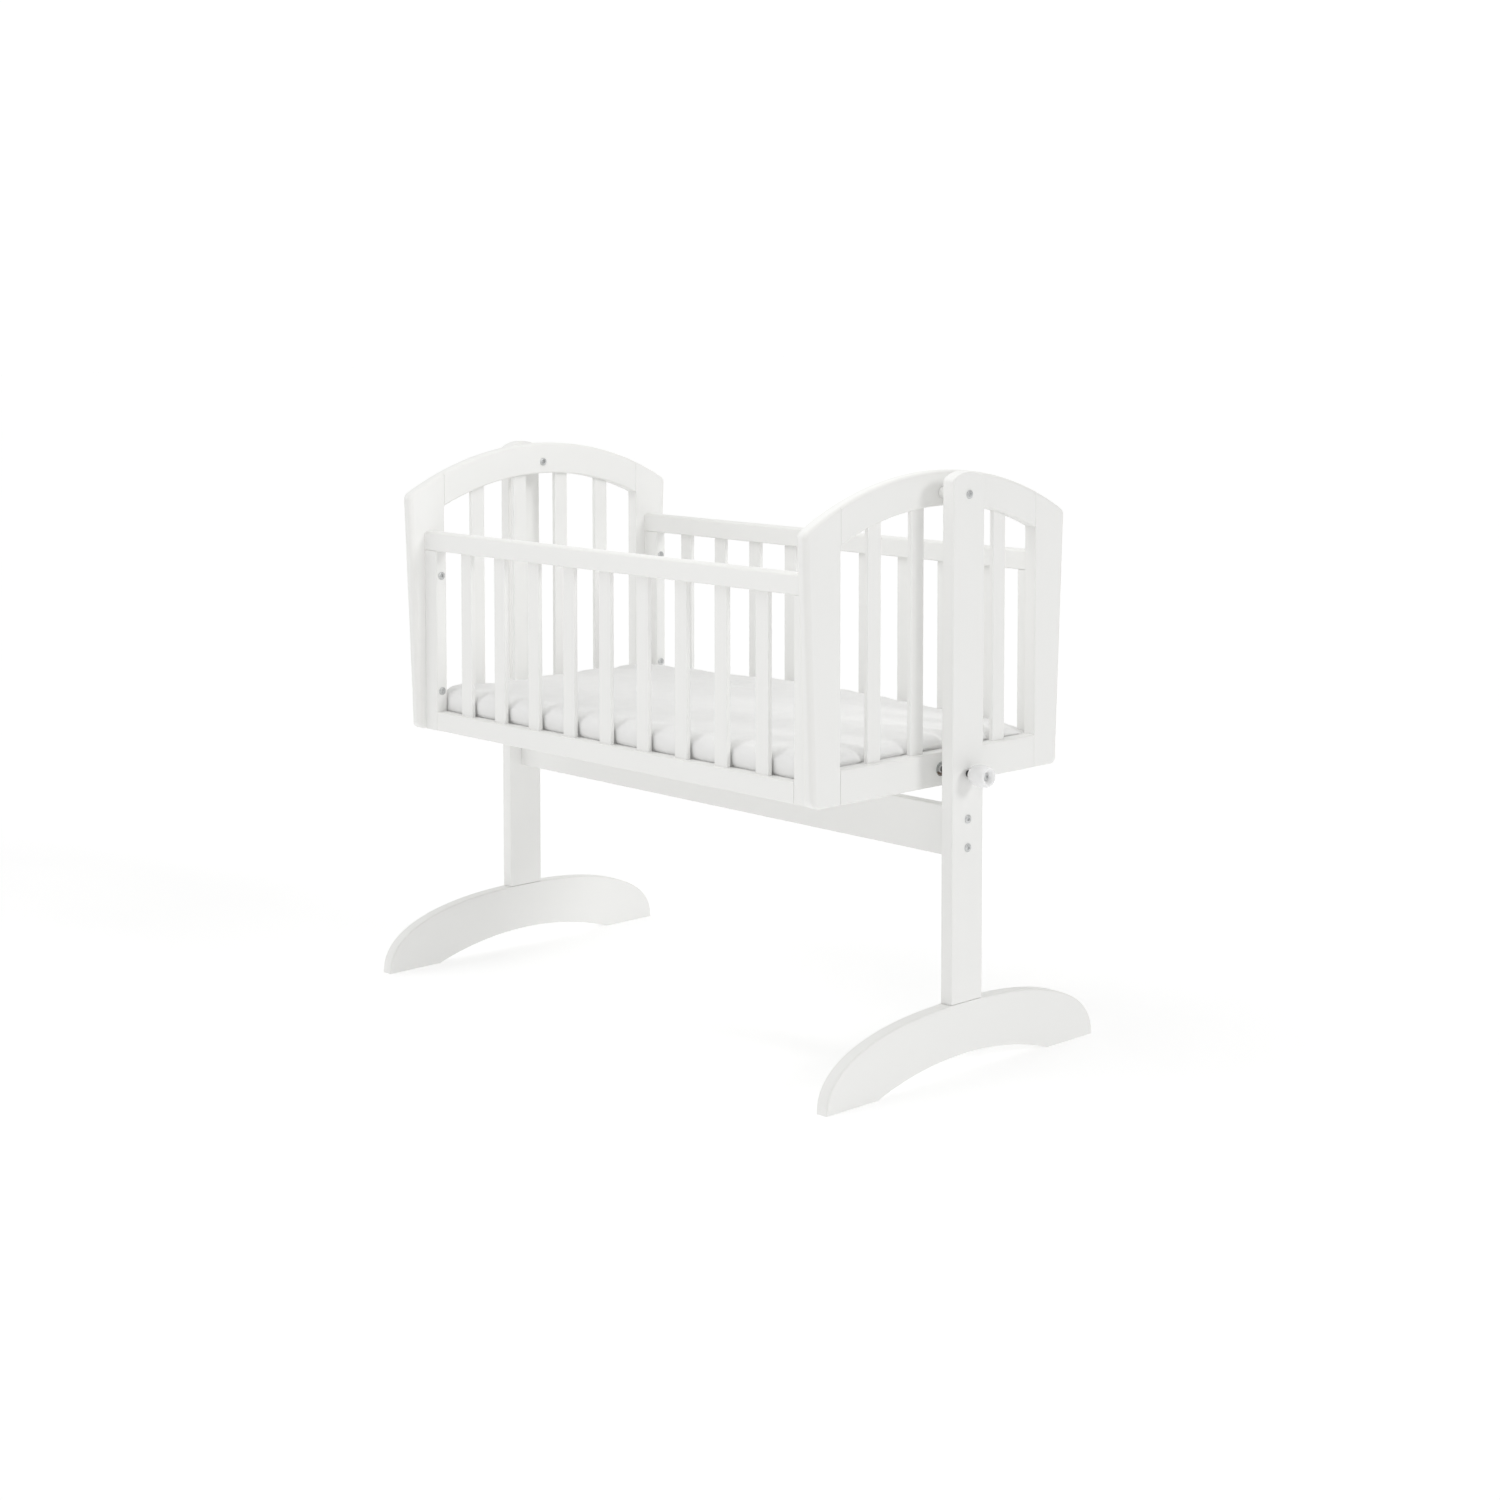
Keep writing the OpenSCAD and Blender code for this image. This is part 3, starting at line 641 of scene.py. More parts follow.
def stile_outline():
    fcz = LOW + CORNER
    fcy = edge_y(fcz) - CORNER / LEAN_C
    rin = CROWN_R - CORNER
    la = edge_y(CROWN_C) - CORNER / LEAN_C
    q = 1 + LEAN * LEAN
    h = (-la * LEAN + math.sqrt(la * la * LEAN * LEAN - q * (la * la - rin * rin))) / q
    tcz, tcy = CROWN_C + h, la + LEAN * h
    tilt = -math.degrees(math.atan(LEAN))
    a_top = math.degrees(math.atan2(tcz - CROWN_C, tcy))
    bottom = arc(fcy, fcz, CORNER, -90, tilt, 12)
    topc = arc(tcy, tcz, CORNER, tilt, a_top, 9)
    a_in = math.degrees(math.acos(STILE_IN / CROWN_R))
    crown = arc(0, CROWN_C, CROWN_R, a_top, a_in, 14)
    n = 24
    b, t = bottom[-1], topc[0]
    edge = [(b[0] + (t[0] - b[0]) * i / n, b[1] + (t[1] - b[1]) * i / n) for i in range(1, n)]
    top_z = crown[-1][1]
    low_z = LOW_C + math.sqrt(LOW_R ** 2 - STILE_IN ** 2)
    inner = [(STILE_IN, z) for z in (top_z - 8, low_z + 2, low_z - 2, low_z - 8, 700, 600, END_RAIL + 8, END_RAIL + 2, END_RAIL - 2, LOW + 6)]
    return clean([(STILE_IN, LOW)] + bottom + edge + topc + crown[1:] + inner)


def make_stile(side, back):
    x0, x1 = (PANEL_I, PANEL_O) if side > 0 else (-PANEL_O, -PANEL_I)

    def rad(y, z):
        y = abs(y)
        if y < STILE_IN + 0.05:
            # the long inner edge: a fine joint line where it meets the rails, and eased between them
            f = min(z - END_RAIL, LOW_C + math.sqrt(LOW_R ** 2 - STILE_IN ** 2) - z)
            return 0.7 + 1.5 * max(0.0, min(1.0, f / 4))
        up = max(0.0, min(1.0, (z - LOW) / 16))
        down = max(0.0, min(1.0, (832 - z) / 24))
        return 3.5 + 5.0 * up * down + 2.2 * (1 - down)
    pts = stile_outline()
    if not back:
        pts = mirrored(pts)
    name = "end_stile_%s_%s" % ("right" if side > 0 else "left", "back" if back else "front")
    ob = slab("look_" + name, pts, x0, x1, "yz", PAINT[2], rad, 7)
    return put(ob, "cradle", "white_paint", name)


def make_arch(side):
    x0, x1 = (PANEL_I, PANEL_O) if side > 0 else (-PANEL_O, -PANEL_I)
    a_hi = math.degrees(math.acos(STILE_IN / CROWN_R))
    a_lo = math.degrees(math.acos(STILE_IN / LOW_R))
    pts = arc(0, CROWN_C, CROWN_R, a_hi, 180 - a_hi, 56) + arc(0, LOW_C, LOW_R, 180 - a_lo, a_lo, 56)

    def rad(y, z):
        if abs(y) > STILE_IN - 0.05:
            return 0.7
        return 5.7 if math.hypot(y, z - CROWN_C) > CROWN_R - 3 else 3.0
    name = "end_arch_" + ("right" if side > 0 else "left")
    ob = slab("look_" + name, clean(pts), x0, x1, "yz", PAINT[1], rad, 7)
    return put(ob, "cradle", "white_paint", name)


def make_end_rail(side):
    x0, x1 = (PANEL_I, PANEL_O) if side > 0 else (-PANEL_O, -PANEL_I)
    name = "end_bottom_rail_" + ("right" if side > 0 else "left")
    ob = bars("look_" + name, [(x0, x1, -STILE_IN + 0.55, STILE_IN - 0.15, LOW, END_RAIL)], PAINT[1],
              lambda m, d, ns: 2.5 if is_y(d) else 0.8, 5)
    return put(ob, "cradle", "white_paint", name)


def make_end_slats(side):
    mid = (PANEL_I + PANEL_O) / 2 * side
    name = "end_slats_" + ("right" if side > 0 else "left")
    boxes = []
    for i in range(4):
        y = (i - 1.5) * END_PITCH
        top = LOW_C + math.sqrt(LOW_R ** 2 - y * y) + 5
        boxes.append((mid - SLAT_T / 2, mid + SLAT_T / 2, y - SLAT_W / 2, y + SLAT_W / 2, END_RAIL - 6, top))
    ob = bars("look_" + name, boxes, PAINT[2], lambda m, d, ns: 1.8 if is_z(d) else 0.0, 4)
    return put(ob, "cradle", "white_paint", name)


for s in (-1, 1):
    make_stile(s, False)
    make_stile(s, True)
    make_arch(s)
    make_end_rail(s)
    make_end_slats(s)


# ------------------------------------------------------------------ side panels
def make_side(back):
    k = 1 if back else -1
    word = "back" if back else "front"
    y0, y1 = sorted((k * SIDE_IN, k * SIDE_OUT))

    def top_rad(m, d, ns):
        if is_x(d):
            return 5.5 if m[2] > SIDE_TOP - 1 else 2.0
        return 0.4
    top = bars("look_side_top_rail_" + word, [(-PANEL_I, PANEL_I, y0, y1, RAIL_TOP, SIDE_TOP)], PAINT[0], top_rad, 6)
    put(top, "cradle", "white_paint", "side_top_rail_" + word)

    below_rod_wood_shade = bars("look_side_bottom_rail_" + word, [(-UP_X, UP_X, y0, y1, LOW, RAIL_LOW)], PAINT[0],
               lambda m, d, ns: 2.2 if is_x(d) else 0.5, 4)
    put(below_rod_wood_shade, "cradle", "white_paint", "side_bottom_rail_" + word)

    for side in (-1, 1):
        x0, x1 = sorted((side * UP_X, side * PANEL_I))

        def up_rad(m, d, ns, side=side):
            if is_z(d):
                return 2.0 if abs(m[0]) < UP_X + 1 else 0.6
            return 0.6 if m[2] > RAIL_TOP - 1 else 1.5
        name = "side_upright_%s_%s" % (word, "right" if side > 0 else "left")
        ob = bars("look_" + name, [(x0, x1, y0, y1, LOW, RAIL_TOP)], PAINT[2], up_rad, 4)
        put(ob, "cradle", "white_paint", name)

    s0, s1 = sorted((k * 242.25, k * 250.25))
    boxes = [(x - SLAT_W / 2, x + SLAT_W / 2, s0, s1, RAIL_LOW - 6, RAIL_TOP + 6) for x in ((i - 4) * PITCH for i in range(9))]
    ob = bars("look_side_slats_" + word, boxes, PAINT[2], lambda m, d, ns: 1.8 if is_z(d) else 0.0, 4)
    put(ob, "cradle", "white_paint", "side_slats_" + word)


make_side(False)
make_side(True)


# ------------------------------------------------------------------ hardware
def head_rings(d, t, socket=2.3, deep=1.8):
    """A low domed bolt head from its seat outward, with a six-sided socket. The last rings are the socket's."""
    r = d / 2
    rings = [(-0.4, r - 0.15), (0.0, r - 0.15), (0.15, r), (t * 0.42, r)]
    for k in range(1, 7):
        a = math.radians(15 * k)
        rings.append((t * (0.42 + 0.40 * math.sin(a)), r - 1.1 * (1 - math.cos(a))))
    inner = socket + 0.9
    for k in range(1, 5):
        f = k / 4
        rings.append((t * (0.82 + 0.18 * math.sin(f * math.pi / 2)), r - 1.1 + (inner - r + 1.1) * f))
    n = len(rings)
    rings += [(t, socket + 0.35), (t - 0.3, socket), (t - deep, socket), (t - deep - 0.25, 0.0)]
    return rings, (n + 1, n + 2)


def bolt_head(name, x, y, z, d=13.2, t=2.0, sign=1, shank=None):
    rings, hexes = head_rings(d, t)
    if shank:
        rings = [(-shank, 0.0), (-shank, 2.7), (-shank + 0.5, 3.0), (-0.4, 3.0)] + rings
        hexes = tuple(h + 4 for h in hexes)
    return lathe(name, rings, x, y, z, ZINC, sign, 48, hexes, 30.0)


heads = []
for s in (-1, 1):
    for z in (STR_Z + 16.5, STR_Z + 59.5):
        heads.append(bolt_head("h", s * POST_O, 0, z, sign=s, shank=60))
put(joined("look_stretcher_bolts", heads), "stand", "zinc_hardware", "stretcher_bolts")
for s, w in ((-1, "left"), (1, "right")):
    ob = bolt_head("look_pivot_bolt_" + w, s * POST_O, 0, PIVOT, sign=s, shank=60)
    put(ob, "stand", "zinc_hardware", "pivot_bolt_" + w)
    rings, hexes = head_rings(13, 2.0)
    rings = [(-42.0, 3.1), (-42.0, 3.7), (-41.6, 4.0), (-0.4, 4.0)] + rings
    ob = lathe("look_pivot_sleeve_nut_" + w, rings, s * (PANEL_I - 0.3), 0, PIVOT, ZINC, -s, 48, tuple(h + 4 for h in hexes), 30.0)
    put(ob, "stand", "zinc_hardware", "pivot_sleeve_nut_" + w)
    r = 9.0
    L = POST_I - PANEL_O - 0.4
    rings = [(0.0, 4.2), (0.0, r - 1.0), (0.3, r - 0.3), (1.0, r), (L - 1.0, r), (L - 0.3, r - 0.3), (L, r - 1.0), (L, 4.2)]
    ob = lathe("look_pivot_spacer_" + w, rings + [(L, 4.2)][:0], s * (PANEL_O + 0.4), 0, PIVOT, NYLON, s, 64)
    put(ob, "stand", "white_nylon", "pivot_spacer_" + w)

heads = []
for sx in (-1, 1):
    for sy in (-1, 1):
        for z in (LOW + 66.5, LOW + 261.4):
            heads.append(bolt_head("h", sx * UP_X, sy * 246.25, z, sign=-sx, shank=44))
put(joined("look_side_bolts", heads), "cradle", "zinc_hardware", "side_bolts")

# lock: turned knob with a dished end, drawn-out rod, dark socket
KX, KNOB_L, SEAT = POST_O + 7.0, 35.0, 27.6
rings = [(0.0, 0.0), (0.0, 6.0), (0.2, 6.8)]
for i in range(1, 25):
    t = math.radians(90 * i / 24)
    rings.append((21 * (1 - math.cos(t)), 7.2 + 9.4 * math.sin(t)))
rings += [(23.5, 16.6), (26.0, 16.45), (28.0, 16.15), (30.0, 15.7), (31.6, 15.25), (32.9, 14.75), (33.8, 14.25), (34.4, 13.75), (34.8, 13.2)]
# the soft lip, then the shallow dish down to the screw's seat
rings += [(34.97, 12.8), (35.0, 12.4), (34.9, 11.95), (34.6, 11.4), (34.1, 10.7), (33.4, 9.9), (32.5, 9.05), (31.5, 8.2), (30.6, 7.45), (29.8, 6.8), (29.2, 6.35), (28.8, 6.05),
          (28.4, 5.75), (SEAT + 0.3, 5.5), (SEAT, 5.4), (SEAT, 0.0)]
knob = lathe("look_lock_knob", rings, KX, 0, LOCK, KNOBM, 1, 96, (), 60.0)
put(knob, "lock_pin", "white_knob", "lock_knob")
rings, hexes = head_rings(9.8, 2.2, 2.4, 2.0)
screw = lathe("look_lock_knob_screw", rings, KX + SEAT, 0, LOCK, ZINC, 1, 48, hexes, 30.0)
put(screw, "lock_pin", "zinc_hardware", "lock_knob_screw")
rings = [(0, 0), (0, 4.0), (1.0, 5.0), (46.0, 5.0), (46.4, 4.6), (47.2, 4.6), (47.6, 5.0), (70.0, 5.0), (70.0, 0)]
rod = lathe("look_lock_rod", rings, PANEL_O + 2.2, 0, LOCK, STEEL, 1, 48)
put(rod, "lock_pin", "dark_steel", "lock_rod")
# the sleeve in the rail: a thin dark rim, a plated face set back in it, the bore
rings = [(-15.9, 0), (-15.9, 9.9), (0.0, 9.9), (0.0, 10.6), (0.15, 10.85), (0.4, 10.85), (0.6, 10.6), (0.62, 10.3), (0.45, 10.05), (0.1, 9.95), (-0.3, 9.9), (-0.3, 9.5), (-14.0, 9.5), (-14.0, 0)]
socket = lathe("look_lock_socket", rings, PANEL_O, 0, LOCK, SLEEVE, 1, 64)
rings = [(-12.0, 5.3), (-0.3, 5.3), (0.0, 5.6), (0.15, 6.1), (0.15, 9.2), (0.0, 9.5), (-0.25, 9.6), (-12.0, 9.6)]
face = lathe("look_lock_socket_face", rings, PANEL_O, 0, LOCK, SLEEVE, 1, 64)
put(socket, "cradle", "dark_steel", "lock_socket")
put(face, "cradle", "dark_steel", "lock_socket")


# ------------------------------------------------------------------ mattress
MAT_X, MAT_Y, MAT_TOP = 456.9, 234.6, 498.0
MAT_LOW = BED + 0.4
FRONT_SLATS = [(i - 4) * PITCH for i in range(9)]
END_SLATS = [(i - 1.5) * END_PITCH for i in range(4)]
# creases in the cover's top: a run of points, a depth and a half width, in mm
CREASES = (
    (((-300, -226), (-183, -219), (-134, -212), (-80, -192), (-29, -167)), 1.5, 5.5),
    (((-58, -219), (-25, -212), (22, -204), (60, -206)), 1.3, 4.5),
    (((10, -184), (40, -178), (75, -176), (120, -184)), 1.1, 4.5),
    (((-260, 112), (-200, 134), (-88, 168), (-10, 187), (70, 196)), 1.6, 6.5),
    (((-240, 92), (-186, 99), (-142, 105), (-87, 123), (-29, 137), (30, 150)), 1.7, 5.5),
    (((90, -22), (138, -13), (174, -4), (220, -8)), 1.0, 5.0),
    (((100, 146), (142, 135), (203, 125), (260, 128)), 1.3, 5.5),
    (((-330, -60), (-270, -84), (-200, -96)), 0.8, 6.5),
    (((230, -120), (290, -104), (360, -112)), 0.9, 6.0),
    (((-60, 40), (10, 52), (90, 44)), 0.7, 8.0),
)


# the lie of the top: height in mm over the place in mm, along the far end and along the back
LIE_FAR = ((-236, 0.0), (-180, -3.0), (-122, -7.0), (0, -7.5), (90, -7.0), (180, -7.5), (236, -7.5))
LIE_BACK = ((-458, -7.5), (-400, -7.0), (-320, -5.5), (-290, -4.8), (-215, -4.4), (-190, -2.4), (-120, 0.8), (-100, 2.2), (0, 1.5),
            (45, 1.0), (72, 2.8), (100, 1.0), (136, -1.0), (160, -0.3), (200, -2.5), (240, -4.2), (300, -5.5), (380, -9.5), (420, -12.5), (458, -14.0))


def ease(a, b, v):
    t = np.clip((v - a) / (b - a), 0.0, 1.0)
    return t * t * (3 - 2 * t)


def swell(along, slats, last):
    """How far the cover swells at each place along a wall: 0 behind a slat and at the corners, 1 between them."""
    d = np.full(len(along), 1e9)
    for a in slats:
        d = np.minimum(d, np.abs(along - a) - 8.0)
    d = np.minimum(d, last - np.abs(along))
    t = 1 - np.clip(d / 24.0, 0.0, 1.0)
    return (1 - t ** 2.4) ** (1 / 2.4)


def drawn(along, slats, last):
    """How far the top is drawn down at each place along a wall: 1 behind a slat, 0 midway between two."""
    d = np.full(len(along), 1e9)
    for a in slats:
        d = np.minimum(d, np.abs(along - a) - 11.0)
    d = np.minimum(d, last - np.abs(along))
    return 1 - ease(0.0, 23.0, d)


def creases(x, y):
    """Height of the creases at each place on the top: a valley with a ridge beside it, fading out at the run's two ends."""
    h = np.zeros(len(x))
    for run, depth, width in CREASES:
        pts = np.array(run, float)
        seg = np.hypot(*(pts[1:] - pts[:-1]).T)
        whole, done = seg.sum(), 0.0
        best = np.full(len(x), 1e9)
        fade = np.zeros(len(x))
        for a, b, L in zip(pts, pts[1:], seg):
            u = (b - a) / L
            t = np.clip((x - a[0]) * u[0] + (y - a[1]) * u[1], 0, L)
            dx, dy = x - a[0] - t * u[0], y - a[1] - t * u[1]
            dist = np.hypot(dx, dy) * np.where(u[0] * dy - u[1] * dx > 0, 1, -1)
            near = np.abs(dist) < np.abs(best)
            best = np.where(near, dist, best)
            fade = np.where(near, np.sin(math.pi * np.clip((done + t) / whole, 0, 1)) ** 0.6, fade)
            done += L
        f = best / width
        h += depth * fade * (0.7 * np.exp(-1.3 * (f - 1.25) ** 2) - np.exp(-1.8 * f * f))
    return h


def lie(x, y):
    """The slow rise and fall of the top, in mm: it stands a little higher or lower in places along its far and back edges."""
    along = np.interp(y, *zip(*LIE_FAR)) * (1 - ease(0, 150, x + MAT_X))
    across = np.interp(x, *zip(*LIE_BACK)) * (1 - ease(0, 130, MAT_Y - y))
    corner = (1 - ease(0, 150, x + MAT_X)) * (1 - ease(0, 130, MAT_Y - y))
    return np.where(corner > 0, (along + across) / (1 + corner), along + across)


def spread(slats, pitch, end, near):
    """Grid lines along one side of the mattress, closer together beside the slats."""
    lines = {0.0, end, -end}
    for a in slats:
        for k in near:
            for s in (-1, 1):
                if abs(a + s * k) < end - 3.5:
                    lines.add(round(a + s * k, 2))
    k = max(abs(v) for v in lines if abs(v) < end)
    while k < end - 9:
        k += 6.5
        lines |= {round(k, 2), -round(k, 2)}
    out = []
    for v in sorted(lines):
        if not out or v - out[-1] > 1.6:
            out.append(v)
    out[-1] = end
    return out


def mattress():
    """A foam mattress in a cotton cover. It swells between the slats and draws in behind them. The cover is blown up as cloth from a slightly smaller shape, held behind the slats and along its underside."""
    near = (0, 7, 12, 16, 20, 25, 31, 37.5, 44.2)
    xs = spread(FRONT_SLATS, PITCH, MAT_X, near)
    ys = spread(END_SLATS, END_PITCH, MAT_Y, near[:-1] + (46.0,))
    zs = [MAT_LOW, 453.5, 457.5, 461.0, 466.0, 472.0, 478.0, 483.5, 487.5, 491.5, 495.0, MAT_TOP]
    nx, ny, nz = len(xs) - 1, len(ys) - 1, len(zs) - 1
    bm = bmesh.new()
    ids = {}

    def v(i, j, k):
        key = (i, j, k)
        if key not in ids:
            ids[key] = bm.verts.new((xs[i], ys[j], zs[k]))
        return ids[key]
    for i in range(nx):
        for j in range(ny):
            for k in (0, nz):
                bm.faces.new((v(i, j, k), v(i + 1, j, k), v(i + 1, j + 1, k), v(i, j + 1, k)))
    for k in range(nz):
        for i in range(nx):
            for j in (0, ny):
                bm.faces.new((v(i, j, k), v(i + 1, j, k), v(i + 1, j, k + 1), v(i, j, k + 1)))
        for j in range(ny):
            for i in (0, nx):
                bm.faces.new((v(i, j, k), v(i, j + 1, k), v(i, j + 1, k + 1), v(i, j, k + 1)))
    ob = from_bm("look_mattress", bm, CLOTH)
    n = len(ob.data.vertices)
    co = np.zeros(n * 3)
    ob.data.vertices.foreach_get("co", co)
    x, y, z = co.reshape(-1, 3).T.copy()
    rc, rt = 24.0, 16.5
    # corners rounded in plan
    qx, qy = np.abs(x), np.abs(y)
    cx, cy = MAT_X - rc, MAT_Y - rc
    dx, dy = qx - cx, qy - cy
    corner = (dx > 0) & (dy > 0)
    L = np.maximum(np.hypot(dx, dy), 1e-9)
    k = np.where(corner, np.maximum(dx, dy) / L, 1.0)
    qx, qy = np.where(corner, cx + dx * k, qx), np.where(corner, cy + dy * k, qy)
    L2 = np.maximum(np.hypot(qx - cx, qy - cy), 1e-9)
    to_x = (MAT_X - qx) < (MAT_Y - qy)
    nxv = np.where(corner, (qx - cx) / L2, np.where(to_x, 1.0, 0.0))
    nyv = np.where(corner, (qy - cy) / L2, np.where(to_x, 0.0, 1.0))
    inset = np.where(corner, rc - L2, np.minimum(MAT_X - qx, MAT_Y - qy))
    sx, sy = np.where(x < 0, -1, 1), np.where(y < 0, -1, 1)
    x, y, nxv, nyv = qx * sx, qy * sy, nxv * sx, nyv * sy
    # the rims, rounded between wall and top and between wall and underside
    for top, r in ((True, rt), (False, 6.0)):
        dv = (z - (MAT_TOP - r)) if top else ((MAT_LOW + r) - z)
        du = r - inset
        rim = (du > 0) & (dv > 0)
        k = np.where(rim, np.maximum(du, dv) / np.maximum(np.hypot(du, dv), 1e-9), 1.0)
        x = x - np.where(rim, nxv * (du - du * k), 0)
        y = y - np.where(rim, nyv * (du - du * k), 0)
        z = z - np.where(rim, (dv - dv * k) * (1 if top else -1), 0)
    s_y = swell(x, FRONT_SLATS, UP_X - 3)
    s_x = swell(y, END_SLATS, STILE_IN - 3)
    near_y = 1 - ease(0.0, 26.0, MAT_Y - np.abs(y))
    near_x = 1 - ease(0.0, 26.0, MAT_X - np.abs(x))

    def bulge(lo, hi, p):
        t = np.clip(np.abs((z - (lo + hi) / 2) / ((hi - lo) / 2)), 0, 1)
        return (1 - t ** p) ** (1 / p)
    y = y + np.sign(y) * 6.6 * s_y * bulge(459.4, 502.0, 3.2) * near_y
    x = x + np.sign(x) * 7.0 * s_x * bulge(478.2, 502.0, 2.8) * near_x
    high = ease(470, 492, z)
    dip = np.where(y < 0, 5.4, 1.8) * drawn(x, FRONT_SLATS, UP_X - 3) * (1 - ease(0, 28, MAT_Y - np.abs(y)))
    dip += np.where(x > 0, 5.4, 3.6) * drawn(y, END_SLATS, STILE_IN - 3) * (1 - ease(0, 28, MAT_X - np.abs(x)))
    z = z - np.minimum(dip, 6.5) * high
    roll = np.array([1.1 * noise.noise(Vector((a * 0.010, b * 0.015, 3.1))) + 0.5 * noise.noise(Vector((a * 0.033, b * 0.055, 8.3))) for a, b in zip(x, y)])
    z = z + roll * high
    start = np.stack((x - MID, y, z), 1) * MM
    ob.data.vertices.foreach_set("co", start.ravel())
    ob.data.update()
    # what is held: the underside firmly, the walls behind the slats, the middle of the top only softly
    back = np.maximum(near_y * (1 - s_y), near_x * (1 - s_x))
    hold = np.clip(0.03 + 0.95 * back ** 1.5, 0, 1)
    hold = np.where((z > 480) & (inset > 22), 0.22, hold)
    hold = np.where(z < 456, 1.0, hold)
    group = ob.vertex_groups.new(name="hold")
    for i in range(n):
        group.add([i], float(hold[i]), "REPLACE")
    mod = ob.modifiers.new("cover", "CLOTH")
    c = mod.settings
    c.quality = 4
    c.mass = 0.12
    c.tension_stiffness = c.compression_stiffness = 12.0
    c.shear_stiffness = 4.0
    c.bending_stiffness = 0.5
    c.tension_damping = c.compression_damping = 8.0
    c.vertex_group_mass = "hold"
    c.pin_stiffness = 1.0
    c.use_pressure = True
    c.uniform_pressure_force = 4.0
    c.shrink_min = -0.007
    c.effector_weights.gravity = 0.0
    mod.collision_settings.use_collision = False
    mod.collision_settings.use_self_collision = False
    for f in range(1, 21):
        scene.frame_set(f)
    settle(ob)
    ob.vertex_groups.clear()
    scene.frame_set(1)
    ob.data.vertices.foreach_get("co", co)
    move = co.reshape(-1, 3) - start
    far = np.linalg.norm(move, axis=1)
    print("mattress: moved %.1f mm at most, %.1f on average" % (far.max() * 1000, far.mean() * 1000))
    cap = 0.005
    move = move * (np.minimum(far, cap) / np.maximum(far, 1e-9))[:, None]
    pairs = np.zeros(len(ob.data.edges) * 2, dtype=np.int64)
    ob.data.edges.foreach_get("vertices", pairs)
    pairs = pairs.reshape(-1, 2)
    count = np.bincount(pairs.ravel(), minlength=n)[:, None]
    smooth = move.copy()
    for _ in range(7):
        total = np.zeros_like(smooth)
        np.add.at(total, pairs[:, 0], smooth[pairs[:, 1]])
        np.add.at(total, pairs[:, 1], smooth[pairs[:, 0]])
        smooth = 0.4 * smooth + 0.6 * total / count
    calm = (0.72 * ease(484, 494, z) * ease(10, 34, inset))[:, None]
    p = (start + move * (1 - calm) + smooth * calm) / MM
    x, y, z = p[:, 0] + MID, p[:, 1], p[:, 2]
    z = z + lie(x, y) * ease(470, 496, z)
    z = z + creases(x, y) * ease(484, 495, z) * ease(0, 16, inset)
    # everything kept clear of rails, slats and posts
    ax, ay = np.abs(x), np.abs(y)
    lim_y = np.where(z < RAIL_LOW + 0.4, SIDE_IN - 0.4, 245.8)
    for a in FRONT_SLATS:
        lim_y = np.where(np.abs(x - a) < SLAT_W / 2 + 0.7, np.minimum(lim_y, 241.8), lim_y)
    lim_y = np.where(ax > UP_X - 0.7, SIDE_IN - 0.4, lim_y)
    lim_x = np.where(z < END_RAIL + 0.4, PANEL_I - 0.4, 470.5)
    for a in END_SLATS:
        lim_x = np.where(np.abs(y - a) < SLAT_W / 2 + 0.7, np.minimum(lim_x, 465.0), lim_x)
    lim_x = np.where(ay > STILE_IN - 0.7, PANEL_I - 0.4, lim_x)
    x = np.sign(x) * np.minimum(ax, lim_x)
    y = np.sign(y) * np.minimum(ay, lim_y)
    z = np.maximum(z, BED + 0.3)
    ob.data.vertices.foreach_set("co", (np.stack((x - MID, y, z), 1) * MM).ravel())
    ob.data.update()
    sub = ob.modifiers.new("soft", "SUBSURF")
    sub.levels = sub.render_levels = 1
    settle(ob)
    ob.data.shade_smooth()
    return ob


mat_ob = mattress()
put(mat_ob, "cradle", "mattress_cover", "mattress")


# ------------------------------------------------------------------ CAD nodes that stay, with better materials
def dress(name, mat, width=0.0, segs=2):
    ob = nodes[name]
    ob.data.materials.clear()
    ob.data.materials.append(mat)
    if width:
        b = ob.modifiers.new("ease", "BEVEL")
        b.limit_method = "ANGLE"
        b.angle_limit = math.radians(50)
        b.width = width * MM
        b.segments = segs
        b.use_clamp_overlap = True
    return ob


for n in ("stretcher_barrel_nuts", "foot_bolts", "foot_inserts", "side_inserts", "ledge_screws", "base_screws"):
    dress(n, ZINC)
for n in ("pivot_bush_left", "pivot_bush_right"):
    dress(n, NYLON)
dress("end_dowels", BEECH[1])
dress("side_dowels", BEECH[0])
dress("base_ledge_front", PAINT[0])
dress("base_ledge_back", PAINT[0])
dress("base_slats_set", PAINT[1])


# ------------------------------------------------------------------ stage, light, camera
def floor():
    bm = bmesh.new()
    bmesh.ops.create_grid(bm, x_segments=8, y_segments=8, size=30.0)
    m, n, sh = material("studio_floor")
    cloud = n.noise(n.mapping((1, 1, 1)), 0.6, 2.0, 0.5)
    n.link(mix_colour(n, cloud, (0.67, 0.67, 0.67), (0.69, 0.69, 0.69)), sh.inputs["Base Color"])
    # a lit table: white from below, as under a product on an opal sheet
    sh.inputs["Emission Color"].default_value = (1.0, 1.0, 1.0, 1.0)
    sh.inputs["Emission Strength"].default_value = 0.425
    sh.inputs["Roughness"].default_value = 0.9
    sh.inputs["Specular IOR Level"].default_value = 0.1
    ob = from_bm("studio_floor", bm, m)
    if ob.data.polygons[0].normal.z < 0:
        ob.data.flip_normals()


floor()

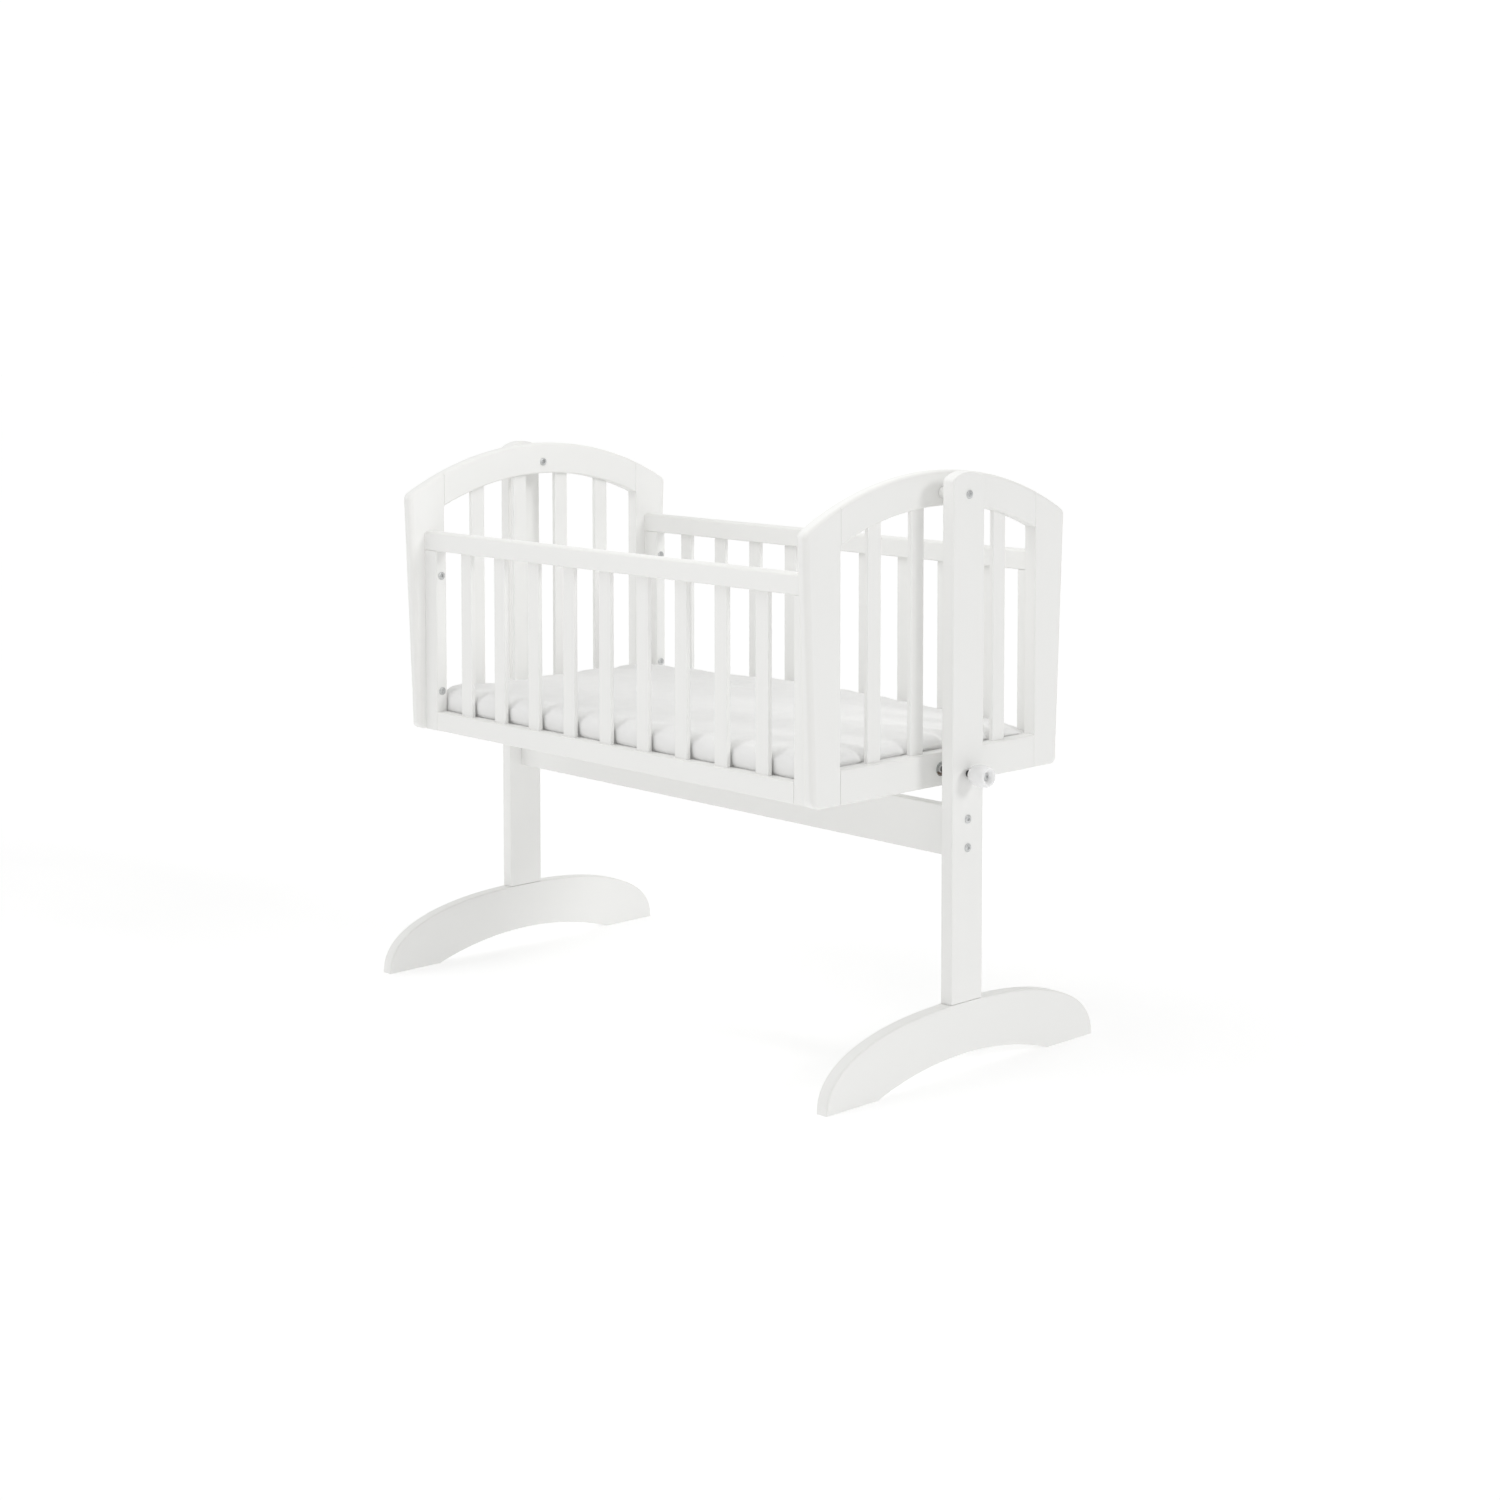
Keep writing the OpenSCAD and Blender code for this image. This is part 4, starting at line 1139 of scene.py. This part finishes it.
world = bpy.data.worlds.new("studio")
scene.world = world
world.use_nodes = True
world.node_tree.nodes.clear()
wn = Nodes(world.node_tree)
w_out = wn.add("ShaderNodeOutputWorld")
w_bg = wn.add("ShaderNodeBackground")
wn.link(w_bg.outputs[0], w_out.inputs["Surface"])
w_co = wn.add("ShaderNodeTexCoord")


def softbox(azimuth, elevation, strength, power):
    """A broad soft light in the surroundings, brightest in one direction. Azimuth 0 is in front of the long side."""
    a, e = math.radians(azimuth), math.radians(elevation)
    d = wn.add("ShaderNodeVectorMath", operation="DOT_PRODUCT")
    wn.link(w_co.outputs["Generated"], d.inputs[0])
    d.inputs[1].default_value = (math.sin(a) * math.cos(e), -math.cos(a) * math.cos(e), math.sin(e))
    return wn.math("MULTIPLY", wn.math("POWER", wn.math("MAXIMUM", d.outputs["Value"], 0.0), power), strength)


w_sum = wn.math("ADD", softbox(0, 90, 0.42, 1.0), softbox(46, 22, 0.63, 14.0))
w_sum = wn.math("ADD", w_sum, softbox(44, 8, 0.80, 12.0))
w_sum = wn.math("ADD", w_sum, softbox(-50, 35, 1.56, 6.0))
w_sum = wn.math("ADD", w_sum, softbox(195, 25, 1.00, 3.0))
wn.link(w_sum, w_bg.inputs["Strength"])
w_bg.inputs["Color"].default_value = (1.0, 1.0, 0.995, 1.0)
# behind the floor's far edge the studio is plain white
w_plain = wn.add("ShaderNodeBackground")
w_plain.inputs["Color"].default_value = (1.0, 1.0, 1.0, 1.0)
w_plain.inputs["Strength"].default_value = 1.05
w_path = wn.add("ShaderNodeLightPath")
w_mix = wn.add("ShaderNodeMixShader")
wn.link(w_path.outputs["Is Camera Ray"], w_mix.inputs[0])
wn.link(w_bg.outputs[0], w_mix.inputs[1])
wn.link(w_plain.outputs[0], w_mix.inputs[2])
wn.link(w_mix.outputs[0], w_out.inputs["Surface"])


def sun(name, azimuth, elevation, strength, size, colour):
    l = bpy.data.lights.new(name, "SUN")
    l.energy = strength
    l.angle = math.radians(size)
    l.color = colour
    ob = link(bpy.data.objects.new(name, l))
    a, e = math.radians(azimuth), math.radians(elevation)
    to_light = Vector((math.sin(a) * math.cos(e), -math.cos(a) * math.cos(e), math.sin(e)))
    ob.rotation_mode = "QUATERNION"
    ob.rotation_quaternion = to_light.to_track_quat("Z", "Y")
    ob.location = to_light * 4
    return ob


def panel(name, place, towards, size, strength):
    """A round soft light hung over the cradle, out of the camera's sight."""
    l = bpy.data.lights.new(name, "AREA")
    l.shape = "DISK"
    l.size = size
    l.energy = strength
    ob = link(bpy.data.objects.new(name, l))
    place, towards = Vector(place), Vector(towards)
    ob.location = place
    ob.rotation_mode = "QUATERNION"
    ob.rotation_quaternion = (towards - place).to_track_quat("-Z", "Y")
    ob.visible_camera = False
    return ob


sun("key", 106, 26, 0.72, 17, (1.0, 1.0, 1.0))
panel("over", (0.30, -0.45, 1.85), (-0.45, 0.0, 0.55), 0.9, 4.2)

# camera: solved from measured points of the photograph, 1500 x 1500 pixels
F, CX, CY = 2557.275, 750.0, 450.0
AZ, EL = 46.36, 3.566
cam = bpy.data.cameras.new("camera")
cam_ob = link(bpy.data.objects.new("camera", cam))
scene.camera = cam_ob
cam.sensor_fit = "HORIZONTAL"
cam.sensor_width = 36.0
cam.lens = F / 1500 * 36.0
cam.shift_x = (750 - CX) / 1500
cam.shift_y = (CY - 750) / 1500
cam.clip_start, cam.clip_end = 0.1, 200.0
a, e = math.radians(AZ), math.radians(EL)
back = Vector((math.sin(a) * math.cos(e), -math.cos(a) * math.cos(e), math.sin(e)))
right = Vector((math.cos(a), math.sin(a), 0.0))
up = back.cross(right)
cam_ob.matrix_world = Matrix((
    (right.x, up.x, back.x, 0), (right.y, up.y, back.y, 0), (right.z, up.z, back.z, 0), (0, 0, 0, 1)))
cam_ob.location = Vector((3024.11 - MID, -2820.56, 1165.03)) * MM

scene.view_settings.view_transform = "Standard"
scene.view_settings.look = "None"
scene.view_settings.exposure = 0.0
scene.view_settings.gamma = 1.0

bpy.context.view_layer.update()
